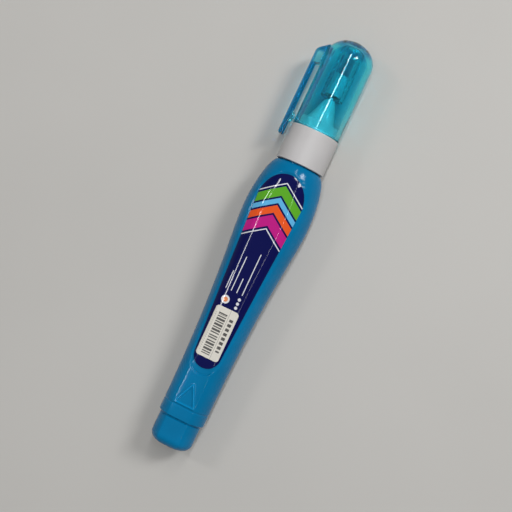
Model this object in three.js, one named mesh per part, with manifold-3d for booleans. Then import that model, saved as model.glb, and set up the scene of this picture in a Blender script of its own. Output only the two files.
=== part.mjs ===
// Squeeze-type correction pen, lying on its back as it lies on a desk. Millimetres, +Z up.
// X runs from the closed tail towards the cap and the clip is on the +Y side.
// Every piece is drawn round the pen's own axis, and the whole pen is then set on the flat
// strip of its back: the origin is on that strip, under the axis, at the strip's middle.
import * as THREE from 'three';
import { mergeVertices } from 'three/addons/utils/BufferGeometryUtils.js';
import Module from 'manifold-3d';

// Bottle: lengths along the pen, from the tail end
const tailLength = 9.7; // narrow tail, which a posted cap slides over
const stepRun = 0.35; // slope of the step between tail and band
const grooveFromTail = 14.0; // fine ring groove in front of the band
const grooveWidth = 0.8;
const grooveDepth = 0.18;
const bodyLength = 97.5; // tail end to the shoulder's end face
const bellyToShoulder = 16.7; // the widest place is this far behind the end face
const restToShoulder = 10.2; // front end of the flat strip that the back rests on
const restLength = 24;

// Bottle: half widths across, and half depths front to back
const tailRadius = 6.95;
const tailCorner = 3.3;
const bandRadius = 7.65;
const bellyHalfWidth = 11.2;
const shoulderHalfWidth = 7.5;
const bandHalfDepth = 6.6;
const bellyHalfDepth = 8.8;
const shoulderHalfDepth = 7.05;
const wall = 1.0;

// Bottle: half width of the flat strip that runs along its front and back
const tailStripHalf = 3.7;
const waistStripHalf = 3.25;
const waistFromTail = 39.3;
const bellyStripHalf = 4.2;
const shoulderStripHalf = 2.6;
const stripDish = 0.1; // the front strip is drawn in a little along its middle
const dishPower = 4; // the strip is flat in the middle and curls up at its edges

// Outline curve: lengths of the handles of its two cubic curves
const gripHandle = 43;
const gripRise = 0.2;
const bellyRearHandle = 10.8;
const bellyFrontHandle = 6;
const shoulderHandle = 1.7;
const shoulderBulge = 2.4;

// Raised triangle on the front strip, its apex towards the cap
const triangleBaseFromTail = 14.85;
const triangleLength = 7.1;
const triangleHalfBase = 3.3;
const ridgeWidth = 0.6;
const ridgeHeight = 0.25;

// Label, its shallow recess and the sticker on it
const labelTailRadius = 4.5;
const labelFromTail = 27.8;
const labelFrontHalf = 7.5;
const labelFrontReach = 9; // length of the rounded front end
const labelToShoulder = 3.75; // the front end stops this far behind the shoulder's end face
const labelThickness = 0.18;
const recessDepth = 0.35;
const recessSideMargin = 0.8;
const recessTailMargin = 2.35;
const skinGap = 0.1; // under the label and under the sticker
const stickerFromTail = 31.15;
const stickerLength = 16.8;
const stickerWidth = 7.65;
const stickerThickness = 0.12;
const stickerCorner = 1.0;

// Nozzle: a white collar over the neck, a spigot for the cap, and a cone
const collarProud = 0.15; // the collar stands out over the cap by this much
const collarWall = 1.25;
const collarLength = 11.75;
const seam = 0.4; // open ring between the bottle's shoulder and the collar
const snapStep = 0.35; // height of the neck's bead, which the collar's inner ridge passes
const fitGap = 0.12; // all round, between moulded pieces that push together
const neckWall = 1.1;
const neckEndGap = 0.3;
const deckThickness = 2.4; // collar's front wall
const plugWall = 0.9;
const plugLength = 4.9;
const spigotLength = 3.6;
const coneBaseRadius = 4.6;
const coneLength = 7.2;
const coneNoseRadius = 1.7;
const coneStep = 0.5; // from the spigot's front face to the cone's foot
const beadFromSeam = 4.0;
const beadLength = 1.2;
const snapRidgeLength = 1.6;
const edgeBreak = 0.25; // eased edges of the moulded pieces

// Valve inside the nozzle
const chamberRadius = 1.9;
const chamberWall = 0.95;
const chamberFromSeam = 4.6; // rear mouth of the valve chamber
const retainerLength = 2.0;
const springLength = 5.9;
const springRadius = 1.25; // to the middle of the wire
const springWire = 0.3;
const springTurns = 5;
const carrierLength = 3.6;
const slideGap = 0.1; // round pieces that slide or press in the chamber
const pressGap = 0.05; // between turned pieces that are pressed together
const chamberTaper = 0.7; // from the chamber's bore down to the tip's seat
const carrierNose = 0.6; // chamfer at the carrier's front
const fluteRadius = 0.55;
const flutes = 3;
const retainerHoleRadius = 0.3;
const retainerHolePitch = 0.62; // radius of the ring of holes
const retainerHoles = 4;
const needleRadius = 0.35;
const needleHold = 2.6; // the carrier holds this much of the needle
const needleCollarLength = 0.7;
const needleProud = 0.6; // the needle stands out of the tip by this much
const tipLength = 4.8; // metal tip in front of the cone
const tipShank = 3.2;
const tipShankRadius = 1.15;
const tipBoreRadius = 0.8;
const tipShoulderRadius = 1.45;
const tipEndRadius = 0.62;
const tipShoulderLength = 0.5;
const tipBevel = 0.15;
const tipMouthRadius = 0.43;
const seatFromEnd = 2.1; // where the needle's collar closes the tip
const seatLength = 0.5;
const seatGap = 0.13; // the needle's collar stands this far behind its seat

// Cap
const capRadius = 7.9;
const capLength = 31.4;
const domeLength = 6.7;
const capMouthWall = 1.5;
const capWall = 1.8;
const crownThickness = 1.7;
const mouthDepth = 0.3; // the thicker mouth reaches this far past the spigot
const sealLedge = 0.6; // step inside the sleeve that the seal stands against
const capSeam = 0.08; // between the collar's front edge and the cap's mouth
const sleeveRadius = 3.8; // inner sleeve that hangs from the crown round the tip
const sleeveWall = 1.0;
const sleeveOverTip = 0.4; // the sleeve's mouth stands this far in front of the cone
const sealLength = 7.1;
const sealDepth = 1.0; // the seal sits this far inside the sleeve's mouth
const sealGap = 0.3; // between the seal and the metal tip

// Clip, seen edge-on in a view from above
const clipWidth = 4.2;
const clipThickness = 1.45;
const clipGap = 1.7; // between the cap's wall and the clip's arm
const clipOverhang = 4.6; // the arm's free end reaches back past the cap's mouth
const bridgeFromEnd = 11.15; // inner corner of the block that carries the arm
const bridgeLength = 7.0;
const hingeGap = 0.25;
const bridgeRoot = 0.95; // the block is sunk this far into the cap's wall
const bridgeRound = 2.2;
const nubFromMouth = 1.8;
const nubLength = 4.2;
const nubGap = 0.4; // between the nub and the cap's wall

// Contents
const ballRadius = 2.5;
const ballBehindRest = 4; // behind the middle of the flat strip
const ballGap = 0.3; // under the ball, and round it in the fluid
const fluidBelowAxis = 0.58; // the level top that 7 ml reach
const fluidGap = 0.3;

// How finely curves are cut
const ringSides = 32;
const smallSides = 16;
const axialStep = 4.2;

// Places worked out from the sizes above
const bellyFromTail = bodyLength - bellyToShoulder;
const restTo = bodyLength - restToShoulder;
const restFrom = restTo - restLength;
const restMiddle = (restFrom + restTo) / 2;
const ballFromTail = restMiddle - ballBehindRest;
const labelToFront = bodyLength - labelToShoulder;
const bandStart = tailLength + stepRun;
const gripStart = grooveFromTail + grooveWidth / 2;
const collarStart = bodyLength + seam;
const collarEnd = collarStart + collarLength;
const collarRadius = capRadius + collarProud;
const collarBore = collarRadius - collarWall;
const beadRadius = collarBore - fitGap;
const neckRadius = beadRadius - snapStep;
const neckBore = neckRadius - neckWall;
const deckStart = collarEnd - deckThickness;
const neckEnd = deckStart - neckEndGap;
const plugRadius = neckBore - fitGap;
const plugBore = plugRadius - plugWall;
const capStart = collarEnd + capSeam;
const capEnd = capStart + capLength;
const capMouthBore = capRadius - capMouthWall;
const capBore = capRadius - capWall;
const spigotRadius = capMouthBore - fitGap;
const spigotEnd = collarEnd + spigotLength;
const coneStart = spigotEnd + coneStep;
const coneEnd = coneStart + coneLength;
const tipEnd = coneEnd + tipLength;
const needleEnd = tipEnd + needleProud;
const seatStart = tipEnd - seatFromEnd;
const seatEnd = seatStart + seatLength;
const chamberStart = collarStart + chamberFromSeam;
const springStart = chamberStart + retainerLength;
const carrierStart = springStart + springLength;
const needleStart = carrierStart + carrierLength - needleHold;
const sleeveStart = coneEnd + sleeveOverTip;
const sleeveBore = sleeveRadius - sleeveWall;
const sealStart = sleeveStart + sealDepth;
const sealEnd = sealStart + sealLength;
const clipInner = capRadius + clipGap;
const clipOuter = clipInner + clipThickness;
const bridgeStart = capEnd - bridgeFromEnd;
const bridgeEnd = bridgeStart + bridgeLength;

const wasm = await Module();
wasm.setup();

// Turns any closed three.js geometry into one welded mesh with its faces pointing out
function welded(geometry) {
  const bare = geometry.clone();
  bare.deleteAttribute('normal');
  bare.deleteAttribute('uv');
  const joined = mergeVertices(bare, 1e-4);
  const place = joined.attributes.position;
  const faces = [];
  let volume = 0;
  for (let i = 0; i < joined.index.count; i += 3) {
    const [a, b, c] = [0, 1, 2].map((k) => joined.index.getX(i + k));
    if (a === b || b === c || c === a) continue;
    const corners = [a, b, c].map((k) => new THREE.Vector3().fromBufferAttribute(place, k));
    volume += corners[0].dot(corners[1].cross(corners[2]));
    faces.push([a, b, c]);
  }
  const index = faces.flatMap((face) => (volume < 0 ? face.reverse() : face));
  const result = new THREE.BufferGeometry();
  result.setAttribute('position', place);
  result.setIndex(index);
  return result;
}

function toSolid(geometry) {
  const mesh = welded(geometry);
  return new wasm.Manifold(new wasm.Mesh({
    numProp: 3,
    vertProperties: new Float32Array(mesh.attributes.position.array),
    triVerts: new Uint32Array(mesh.index.array),
  }));
}

function toGeometry(solid) {
  const mesh = solid.getMesh();
  const geometry = new THREE.BufferGeometry();
  geometry.setAttribute('position', new THREE.BufferAttribute(mesh.vertProperties, 3));
  geometry.setIndex(new THREE.BufferAttribute(mesh.triVerts, 1));
  return geometry;
}

// Revolves a profile of [x, radius] points round the pen's axis
function revolved(profile, sides = ringSides) {
  const points = profile.map(([x, radius]) => new THREE.Vector2(radius, x));
  const geometry = new THREE.LatheGeometry(points, sides);
  geometry.rotateZ(-Math.PI / 2);
  return welded(geometry);
}

// Points of a quarter of an ellipse, from its end on the axis side to its full radius
function quarterArc(x, radius, reach, height, steps) {
  const points = [];
  for (let i = 0; i <= steps; i += 1) {
    const angle = (i / steps) * (Math.PI / 2);
    points.push([x + reach * Math.cos(angle), radius + height * Math.sin(angle)]);
  }
  return points;
}

// Closes a stack of rings, each with the same number of points, into one solid
function lofted(rings) {
  const sides = rings[0].length;
  const points = rings.flat();
  const index = [];
  for (let i = 0; i < rings.length - 1; i += 1) {
    for (let j = 0; j < sides; j += 1) {
      const a = i * sides + j;
      const b = i * sides + ((j + 1) % sides);
      index.push(a, b, a + sides, b, b + sides, a + sides);
    }
  }
  for (const ring of [0, rings.length - 1]) {
    const middle = rings[ring].reduce((sum, p) => sum.add(p), new THREE.Vector3());
    points.push(middle.divideScalar(sides));
    for (let j = 0; j < sides; j += 1) {
      const a = ring * sides + j;
      const b = ring * sides + ((j + 1) % sides);
      index.push(...(ring === 0 ? [b, a] : [a, b]), points.length - 1);
    }
  }
  const geometry = new THREE.BufferGeometry().setFromPoints(points);
  geometry.setIndex(index);
  return welded(geometry);
}

// Height of a cubic curve in the plane at a given x, found by halving
function curveAt(curve, x) {
  let low = 0;
  let high = 1;
  for (let i = 0; i < 40; i += 1) {
    const middle = (low + high) / 2;
    if (curve.getPoint(middle).x < x) low = middle;
    else high = middle;
  }
  return curve.getPoint(low).y;
}

function bezier(...corners) {
  return new THREE.CubicBezierCurve(...corners.map(([x, y]) => new THREE.Vector2(x, y)));
}

const gripCurve = bezier(
  [gripStart, bandRadius],
  [gripStart + gripHandle, bandRadius + gripRise],
  [bellyFromTail - bellyRearHandle, bellyHalfWidth],
  [bellyFromTail, bellyHalfWidth],
);
const shoulderCurve = bezier(
  [bellyFromTail, bellyHalfWidth],
  [bellyFromTail + bellyFrontHandle, bellyHalfWidth],
  [bodyLength - shoulderHandle, shoulderHalfWidth + shoulderBulge],
  [bodyLength, shoulderHalfWidth],
);
const backCurve = bezier(
  [gripStart, bandHalfDepth],
  [THREE.MathUtils.lerp(gripStart, restFrom, 0.45), bandHalfDepth],
  [THREE.MathUtils.lerp(gripStart, restFrom, 0.7), bellyHalfDepth],
  [restFrom, bellyHalfDepth],
);
const frontBackCurve = bezier(
  [restTo, bellyHalfDepth],
  [THREE.MathUtils.lerp(restTo, bodyLength, 0.5), bellyHalfDepth],
  [bodyLength - shoulderHandle / 2, shoulderHalfDepth + shoulderBulge / 2],
  [bodyLength, shoulderHalfDepth],
);

function halfWidth(x) {
  if (x < gripStart) return bandRadius;
  return x < bellyFromTail ? curveAt(gripCurve, x) : curveAt(shoulderCurve, x);
}

function halfDepth(x) {
  if (x < gripStart) return bandHalfDepth;
  if (x < restFrom) return curveAt(backCurve, x);
  return x < restTo ? bellyHalfDepth : curveAt(frontBackCurve, x);
}

// Half width of the flat strip, eased between its stations
function stripHalf(x) {
  const stations = [
    [tailLength, tailStripHalf],
    [waistFromTail, waistStripHalf],
    [bellyFromTail, bellyStripHalf],
    [bodyLength, shoulderStripHalf],
  ];
  let value = stations[0][1];
  for (let i = 1; i < stations.length; i += 1) {
    const [from, start] = stations[i - 1];
    const [to, end] = stations[i];
    if (x > from) value = start + (end - start) * THREE.MathUtils.smoothstep(x, from, to);
  }
  return value;
}

// One cross-section: an ellipse cut by the two flat strips, the cut edges eased
function sectionShape(x) {
  const width = halfWidth(x);
  const depth = halfDepth(x);
  const strip = stripHalf(x);
  return { x, width, depth, strip };
}

function sectionRing({ x, width, depth, strip }, dish = 0) {
  const sideSteps = 8;
  const stripSteps = 4;
  const ease = 0.07;
  const share = strip / width;
  const height = depth / Math.sqrt(1 - share * share);
  const crease = Math.acos(share);
  const angles = [];
  for (let i = 0; i <= sideSteps; i += 1) {
    angles.push(THREE.MathUtils.lerp(-crease + ease, crease - ease, i / sideSteps));
  }
  for (let i = 0; i <= stripSteps; i += 1) {
    angles.push(THREE.MathUtils.lerp(crease + ease, Math.PI - crease - ease, i / stripSteps));
  }
  const half = angles.map((angle) => {
    const y = width * Math.cos(angle);
    const across = Math.min(1, Math.abs(y) / strip);
    const front = Math.min(height * Math.sin(angle), depth - dish * (1 - across ** dishPower));
    return [y, Math.max(front, -depth)];
  });
  const other = angles.map((angle) => {
    const y = -width * Math.cos(angle);
    return [y, THREE.MathUtils.clamp(-height * Math.sin(angle), -depth, depth)];
  });
  return [...half, ...other].map(([y, z]) => new THREE.Vector3(x, y, z));
}

// Stations of the tail's rounded end, drawn in by the wall for the inside
function tailStations(inset) {
  const steps = 5;
  const corner = tailCorner - inset;
  const depth = Math.sqrt(tailRadius ** 2 - tailStripHalf ** 2);
  const stations = [];
  for (let i = 0; i <= steps; i += 1) {
    const angle = (i / steps) * (Math.PI / 2);
    const drawn = inset + corner * (1 - Math.sin(angle));
    const width = tailRadius - drawn;
    stations.push({
      x: inset + corner * (1 - Math.cos(angle)),
      width,
      depth: depth - drawn,
      strip: (tailStripHalf * width) / tailRadius,
    });
  }
  return stations;
}

function bodyStations(from, to) {
  const count = Math.round((to - from) / axialStep);
  const stations = [];
  for (let i = 0; i <= count; i += 1) {
    stations.push(sectionShape(THREE.MathUtils.lerp(from, to, i / count)));
  }
  return stations;
}

function shoulderStations() {
  const steps = 6;
  const from = restTo;
  const stations = [];
  for (let i = 1; i <= steps; i += 1) {
    const eased = Math.sin((i / steps) * (Math.PI / 2));
    stations.push(sectionShape(THREE.MathUtils.lerp(from, bodyLength, eased)));
  }
  return stations;
}

function outerBody() {
  const tail = tailStations(0);
  const tailSection = tail[tail.length - 1];
  const groove = [-0.5, 0, 0.5].map((side) => {
    const section = sectionShape(grooveFromTail + side * grooveWidth);
    const sunk = side === 0 ? grooveDepth : 0;
    return { ...section, width: section.width - sunk, depth: section.depth - sunk };
  });
  const stations = [
    ...tail,
    { ...tailSection, x: tailLength },
    sectionShape(bandStart),
    ...groove,
    ...bodyStations(gripStart, restFrom).slice(1),
    ...bodyStations(restFrom, restTo).slice(1),
    ...shoulderStations(),
  ];
  const end = stations[stations.length - 1].x;
  return lofted(stations.map((section) => {
    const dish = section.x > bandStart && section.x < end ? stripDish : 0;
    return sectionRing(section, dish);
  }));
}

// The same skin drawn in square to itself, for the hollow and for what fills it
function innerBody(inset) {
  const tail = tailStations(inset);
  const last = tail[tail.length - 1];
  const body = [
    ...bodyStations(gripStart, restFrom),
    ...bodyStations(restFrom, restTo).slice(1),
    ...shoulderStations(),
  ].map((section) => {
    const step = 0.05;
    const rise = halfWidth(section.x + step / 2) - halfWidth(section.x - step / 2);
    const slope = section.x < bodyLength ? rise / step : -shoulderBulge / shoulderHandle;
    const length = Math.hypot(slope, 1);
    return {
      x: section.x + (inset * slope) / length,
      width: section.width - inset / length,
      depth: section.depth - stripDish - inset,
      strip: section.strip,
    };
  });
  const stations = [...tail, { ...last, x: tailLength }, ...body];
  return lofted(stations.map((section) => sectionRing(section)));
}

// Front surface of the body, as a height above the axis at a place on the pen
function frontHeight(x, y) {
  const { width, depth, strip } = sectionShape(x);
  const height = depth / Math.sqrt(1 - (strip / width) ** 2);
  const across = Math.min(1, Math.abs(y) / strip);
  const round = height * Math.sqrt(Math.max(0, 1 - (y / width) ** 2));
  return Math.min(round, depth - stripDish * (1 - across ** dishPower));
}

// A point above the front surface, measured square to it across the pen
function overFront(x, y, rise) {
  const step = 0.05;
  const slope = (frontHeight(x, y + step) - frontHeight(x, y - step)) / (2 * step);
  const length = Math.hypot(slope, 1);
  const side = y - (rise * slope) / length;
  return new THREE.Vector3(x, side, frontHeight(x, y) + rise / length);
}

// Places across the front: half of the steps on the flat strip, the rest round its edges
function placesAcross(x, half, across) {
  const flat = Math.min(stripHalf(x), 0.78 * half);
  const places = [];
  for (let j = 0; j <= across; j += 1) {
    const share = Math.abs((2 * j) / across - 1);
    const y = share < 0.5 ? 2 * share * flat : flat + (2 * share - 1) * (half - flat);
    places.push(2 * j < across ? -y : y);
  }
  return places;
}

// A thin sheet on the front surface, between two heights over it, inside an outline
// that gives the half width at each station
function frontSheet(xs, halfAt, low, high, across = 8) {
  const layer = (rise) => xs.map((x) => (
    placesAcross(x, halfAt(x), across).map((y) => overFront(x, y, rise))
  ));
  const layers = [layer(low), layer(high)];
  const points = layers.flat(2);
  const at = (side, i, j) => (side * xs.length + i) * (across + 1) + j;
  const index = [];
  const quad = (a, b, c, d) => index.push(a, b, c, a, c, d);
  for (let i = 0; i < xs.length - 1; i += 1) {
    for (let j = 0; j < across; j += 1) {
      quad(at(1, i, j), at(1, i + 1, j), at(1, i + 1, j + 1), at(1, i, j + 1));
      quad(at(0, i, j), at(0, i, j + 1), at(0, i + 1, j + 1), at(0, i + 1, j));
    }
    quad(at(0, i, 0), at(0, i + 1, 0), at(1, i + 1, 0), at(1, i, 0));
    quad(at(0, i, across), at(1, i, across), at(1, i + 1, across), at(0, i + 1, across));
  }
  const end = xs.length - 1;
  for (let j = 0; j < across; j += 1) {
    quad(at(0, 0, j), at(1, 0, j), at(1, 0, j + 1), at(0, 0, j + 1));
    quad(at(0, end, j), at(0, end, j + 1), at(1, end, j + 1), at(1, end, j));
  }
  const geometry = new THREE.BufferGeometry().setFromPoints(points);
  geometry.setIndex(index);
  return welded(geometry);
}

// Half width of the label: a round tail end, straight sides, and an elliptic front end
function labelHalf(x, sideMargin = 0, tailMargin = 0) {
  const tailMiddle = labelFromTail + labelTailRadius;
  const frontMiddle = labelToFront - labelFrontReach;
  const tailHalf = labelTailRadius + sideMargin;
  const frontHalf = labelFrontHalf + sideMargin;
  if (x < tailMiddle) {
    const share = (tailMiddle - x) / (labelTailRadius + tailMargin);
    return tailHalf * Math.sqrt(Math.max(0, 1 - share * share));
  }
  if (x > frontMiddle) {
    const share = (x - frontMiddle) / (labelFrontReach + sideMargin);
    return frontHalf * Math.sqrt(Math.max(0, 1 - share * share));
  }
  return THREE.MathUtils.mapLinear(x, tailMiddle, frontMiddle, tailHalf, frontHalf);
}

function labelStations(sideMargin = 0, tailMargin = 0) {
  const tailMiddle = labelFromTail + labelTailRadius;
  const frontMiddle = labelToFront - labelFrontReach;
  const steps = 6;
  const inset = 0.02; // the sheet ends in a short straight edge, not in a point
  const xs = [];
  for (let i = 0; i <= steps; i += 1) {
    const share = Math.cos((i / steps) * (Math.PI / 2));
    xs.push(tailMiddle - share * (labelTailRadius + tailMargin - inset));
  }
  const straight = Math.round((frontMiddle - tailMiddle) / axialStep);
  for (let i = 1; i < straight; i += 1) {
    xs.push(THREE.MathUtils.lerp(tailMiddle, frontMiddle, i / straight));
  }
  for (let i = 0; i <= steps; i += 1) {
    const share = Math.sin((i / steps) * (Math.PI / 2));
    xs.push(frontMiddle + share * (labelFrontReach + sideMargin - inset));
  }
  return xs;
}

function recessCutter() {
  const xs = labelStations(recessSideMargin, recessTailMargin);
  const half = (x) => labelHalf(x, recessSideMargin, recessTailMargin);
  return frontSheet(xs, half, -recessDepth, 2 * recessDepth);
}

function triangleRidge() {
  const outline = (inset) => {
    const run = triangleLength / triangleHalfBase;
    const slant = Math.hypot(run, 1);
    const half = triangleHalfBase - inset * (slant + 1) / run;
    return [
      [triangleBaseFromTail + inset, half],
      [triangleBaseFromTail + inset, -half],
      [triangleBaseFromTail + inset + half * run, 0],
    ].map(([x, y]) => new THREE.Vector2(x, y));
  };
  const shape = new THREE.Shape(outline(-ridgeWidth / 2));
  shape.holes.push(new THREE.Path(outline(ridgeWidth / 2)));
  const base = halfDepth(triangleBaseFromTail) - wall / 2;
  const ridge = new THREE.ExtrudeGeometry(shape, {
    depth: wall / 2 + ridgeHeight,
    bevelEnabled: false,
  });
  ridge.translate(0, 0, base);
  return ridge;
}

// Blow-moulded bottle: lofted skin, hollow, turned neck with its snap bead
function bottle() {
  const bead = collarStart + beadFromSeam;
  const neck = revolved([
    [bodyLength - wall, 0],
    [bodyLength - wall, neckRadius],
    [bead, neckRadius],
    [bead + beadLength * 0.25, beadRadius],
    [bead + beadLength * 0.5, beadRadius],
    [bead + beadLength, neckRadius],
    [neckEnd - edgeBreak, neckRadius],
    [neckEnd, neckRadius - edgeBreak],
    [neckEnd, 0],
  ]);
  const bore = revolved([
    [bodyLength - 3 * wall, 0],
    [bodyLength - 3 * wall, neckBore],
    [neckEnd + wall, neckBore],
    [neckEnd + wall, 0],
  ]);
  const solid = toSolid(outerBody())
    .add(toSolid(neck))
    .subtract(toSolid(innerBody(wall)))
    .subtract(toSolid(bore))
    .subtract(toSolid(recessCutter()))
    .add(toSolid(triangleRidge()));
  return toGeometry(solid);
}

function label() {
  const low = skinGap - recessDepth;
  return frontSheet(labelStations(), (x) => labelHalf(x), low, low + labelThickness);
}

function sticker() {
  const low = skinGap - recessDepth + labelThickness + skinGap;
  const from = stickerFromTail;
  const to = from + stickerLength;
  const steps = 3;
  const xs = [];
  for (let i = 0; i <= steps; i += 1) {
    xs.push(from + stickerCorner * (1 - Math.cos((i / steps) * (Math.PI / 2))));
  }
  const middles = Math.round((stickerLength - 2 * stickerCorner) / axialStep);
  for (let i = 1; i < middles; i += 1) {
    xs.push(THREE.MathUtils.lerp(from + stickerCorner, to - stickerCorner, i / middles));
  }
  for (let i = 0; i <= steps; i += 1) {
    xs.push(to - stickerCorner * (1 - Math.sin((i / steps) * (Math.PI / 2))));
  }
  const half = (x) => {
    const past = Math.max(0, stickerCorner - Math.min(x - from, to - x));
    return stickerWidth / 2 - stickerCorner + Math.sqrt(stickerCorner ** 2 - past ** 2);
  };
  return frontSheet(xs, half, low, low + stickerThickness);
}

// Nozzle moulding: collar, snap ridge, plug, valve chamber, spigot and cone
function nozzle() {
  const snapRidge = collarBore - snapStep;
  const ridgeStart = collarStart + beadFromSeam - fitGap - snapRidgeLength;
  const chamberOuter = chamberRadius + chamberWall;
  const coneSlope = (coneBaseRadius - coneNoseRadius) / coneLength;
  const seatBack = coneEnd - tipShank - slideGap;
  const shankBore = tipShankRadius + pressGap;
  const hollowEnd = spigotEnd - plugWall;
  const edge = edgeBreak;
  return revolved([
    [collarStart, collarBore],
    [collarStart, collarRadius - edge],
    [collarStart + edge, collarRadius],
    [collarEnd - edge, collarRadius],
    [collarEnd, collarRadius - edge],
    [collarEnd, spigotRadius],
    [spigotEnd - 2 * edge, spigotRadius],
    [spigotEnd, spigotRadius - 2 * edge],
    [spigotEnd, coneBaseRadius + edge],
    [coneStart, coneBaseRadius],
    [coneEnd - edge, coneNoseRadius + coneSlope * edge],
    [coneEnd, coneNoseRadius - edge / 2],
    [coneEnd, shankBore],
    [seatBack, shankBore],
    [seatBack - chamberTaper, chamberRadius],
    [chamberStart, chamberRadius],
    [chamberStart, chamberOuter],
    [hollowEnd, chamberOuter],
    [hollowEnd, plugBore],
    [deckStart - plugLength, plugBore],
    [deckStart - plugLength, plugRadius - edge],
    [deckStart - plugLength + 2 * edge, plugRadius],
    [deckStart, plugRadius],
    [deckStart, collarBore],
    [ridgeStart + snapRidgeLength, collarBore],
    [ridgeStart + snapRidgeLength * 0.75, snapRidge + fitGap],
    [ridgeStart + snapRidgeLength * 0.4, snapRidge + fitGap],
    [ridgeStart, collarBore],
    [collarStart, collarBore],
  ]);
}

// Turned metal tip: a shank in the cone, a shoulder on its nose and a fine taper
function metalTip() {
  const shoulder = coneEnd + pressGap;
  return revolved([
    [coneEnd - tipShank, tipBoreRadius],
    [coneEnd - tipShank, tipShankRadius],
    [shoulder, tipShankRadius],
    [shoulder, tipShoulderRadius],
    [shoulder + tipShoulderLength, tipShoulderRadius],
    [shoulder + tipShoulderLength + 2 * tipBevel, tipShoulderRadius - tipBevel],
    [tipEnd - tipBevel, tipEndRadius],
    [tipEnd, tipEndRadius - tipBevel / 2],
    [tipEnd, tipMouthRadius],
    [seatEnd, tipMouthRadius],
    [seatStart, tipBoreRadius],
    [coneEnd - tipShank, tipBoreRadius],
  ], smallSides);
}

// Needle with the small collar that closes the tip from inside
function valveNeedle() {
  const fall = (tipBoreRadius - tipMouthRadius) / seatLength;
  const collar = tipBoreRadius - slideGap;
  const coneFrom = seatStart + (tipBoreRadius - collar) / fall - seatGap;
  const coneTo = seatStart + (tipBoreRadius - needleRadius) / fall - seatGap;
  return revolved([
    [needleStart, 0],
    [needleStart, needleRadius],
    [coneFrom - needleCollarLength - needleRadius, needleRadius],
    [coneFrom - needleCollarLength, collar],
    [coneFrom, collar],
    [coneTo, needleRadius],
    [needleEnd - needleRadius * 0.7, needleRadius],
    [needleEnd - needleRadius * 0.2, needleRadius * 0.7],
    [needleEnd, 0],
  ], smallSides);
}

// Fluted carrier that the needle is pressed into; the fluid passes its flutes
function needleCarrier() {
  const radius = chamberRadius - slideGap;
  const body = revolved([
    [carrierStart, 0],
    [carrierStart, radius],
    [carrierStart + carrierLength - carrierNose, radius],
    [carrierStart + carrierLength, radius - carrierNose],
    [carrierStart + carrierLength, needleRadius + pressGap],
    [needleStart - pressGap, needleRadius + pressGap],
    [needleStart - pressGap, 0],
  ], smallSides);
  let solid = toSolid(body);
  for (let i = 0; i < flutes; i += 1) {
    const flute = new THREE.CylinderGeometry(fluteRadius, fluteRadius, 2 * carrierLength, 8);
    flute.rotateZ(Math.PI / 2);
    flute.translate(carrierStart + carrierLength / 2, radius, 0);
    flute.rotateX(((i + 0.15) * 2 * Math.PI) / flutes);
    solid = solid.subtract(toSolid(flute));
  }
  return toGeometry(solid);
}

// Perforated plug in the chamber's mouth, which the spring stands on
function springRetainer() {
  const shape = new THREE.Shape();
  shape.absarc(0, 0, chamberRadius - slideGap, 0, 2 * Math.PI);
  for (let i = 0; i < retainerHoles; i += 1) {
    const angle = (i * 2 * Math.PI) / retainerHoles;
    const y = retainerHolePitch * Math.cos(angle);
    const z = retainerHolePitch * Math.sin(angle);
    const hole = new THREE.Path();
    hole.absarc(y, z, retainerHoleRadius, 0, 2 * Math.PI, true);
    shape.holes.push(hole);
  }
  const plug = new THREE.ExtrudeGeometry(shape, {
    depth: retainerLength,
    curveSegments: 10,
    bevelEnabled: false,
  });
  plug.rotateY(Math.PI / 2);
  plug.translate(chamberStart, 0, 0);
  return welded(plug);
}

// Valve spring: one wire, straight for a wire's width at both ends
function valveSpring() {
  const steps = 8;
  const sides = 5;
  const from = springStart + pressGap;
  const to = carrierStart - pressGap;
  const coilFrom = from + springWire;
  const coilTo = to - springWire;
  const count = springTurns * steps;
  const pathPoint = (i) => {
    const share = THREE.MathUtils.clamp(i / count, 0, 1);
    const angle = share * springTurns * 2 * Math.PI;
    let x = THREE.MathUtils.lerp(coilFrom, coilTo, share);
    if (i < 0) x = from;
    if (i > count) x = to;
    const radial = new THREE.Vector3(0, Math.cos(angle), Math.sin(angle));
    return { middle: radial.clone().multiplyScalar(springRadius).setX(x), radial };
  };
  const rings = [];
  const middles = [];
  for (let i = -1; i <= count + 1; i += 1) {
    const { middle, radial } = pathPoint(i);
    const before = pathPoint(Math.max(-1, i - 1)).middle;
    const after = pathPoint(Math.min(count + 1, i + 1)).middle;
    const along = after.clone().sub(before);
    if (i <= 0 || i >= count) along.set(1, 0, 0);
    along.normalize();
    const side = along.clone().cross(radial).normalize();
    const ring = [];
    for (let j = 0; j < sides; j += 1) {
      const angle = (j / sides) * 2 * Math.PI;
      const point = middle.clone();
      point.addScaledVector(radial, (springWire / 2) * Math.cos(angle));
      point.addScaledVector(side, (springWire / 2) * Math.sin(angle));
      ring.push(point);
    }
    rings.push(ring);
    middles.push(middle);
  }
  let least = Infinity;
  for (let i = 0; i < middles.length; i += 1) {
    for (let j = i + steps - 2; j < middles.length; j += 1) {
      least = Math.min(least, middles[i].distanceTo(middles[j]) - springWire);
    }
  }
  console.log(`valve spring: least gap between turns ${least.toFixed(2)} mm`);
  return lofted(rings);
}

// Side view of the block that joins the clip's arm to the cap
function bridgeBlock() {
  const shape = new THREE.Shape();
  const root = capRadius - bridgeRoot;
  shape.moveTo(bridgeStart, root);
  shape.lineTo(bridgeEnd, root);
  shape.lineTo(bridgeEnd, capRadius);
  shape.quadraticCurveTo(bridgeEnd, clipOuter, bridgeEnd - bridgeRound, clipOuter);
  shape.lineTo(bridgeStart, clipOuter);
  shape.closePath();
  const block = new THREE.ExtrudeGeometry(shape, {
    depth: clipWidth,
    curveSegments: 5,
    bevelEnabled: false,
  });
  block.translate(0, 0, -clipWidth / 2);
  return block;
}

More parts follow.
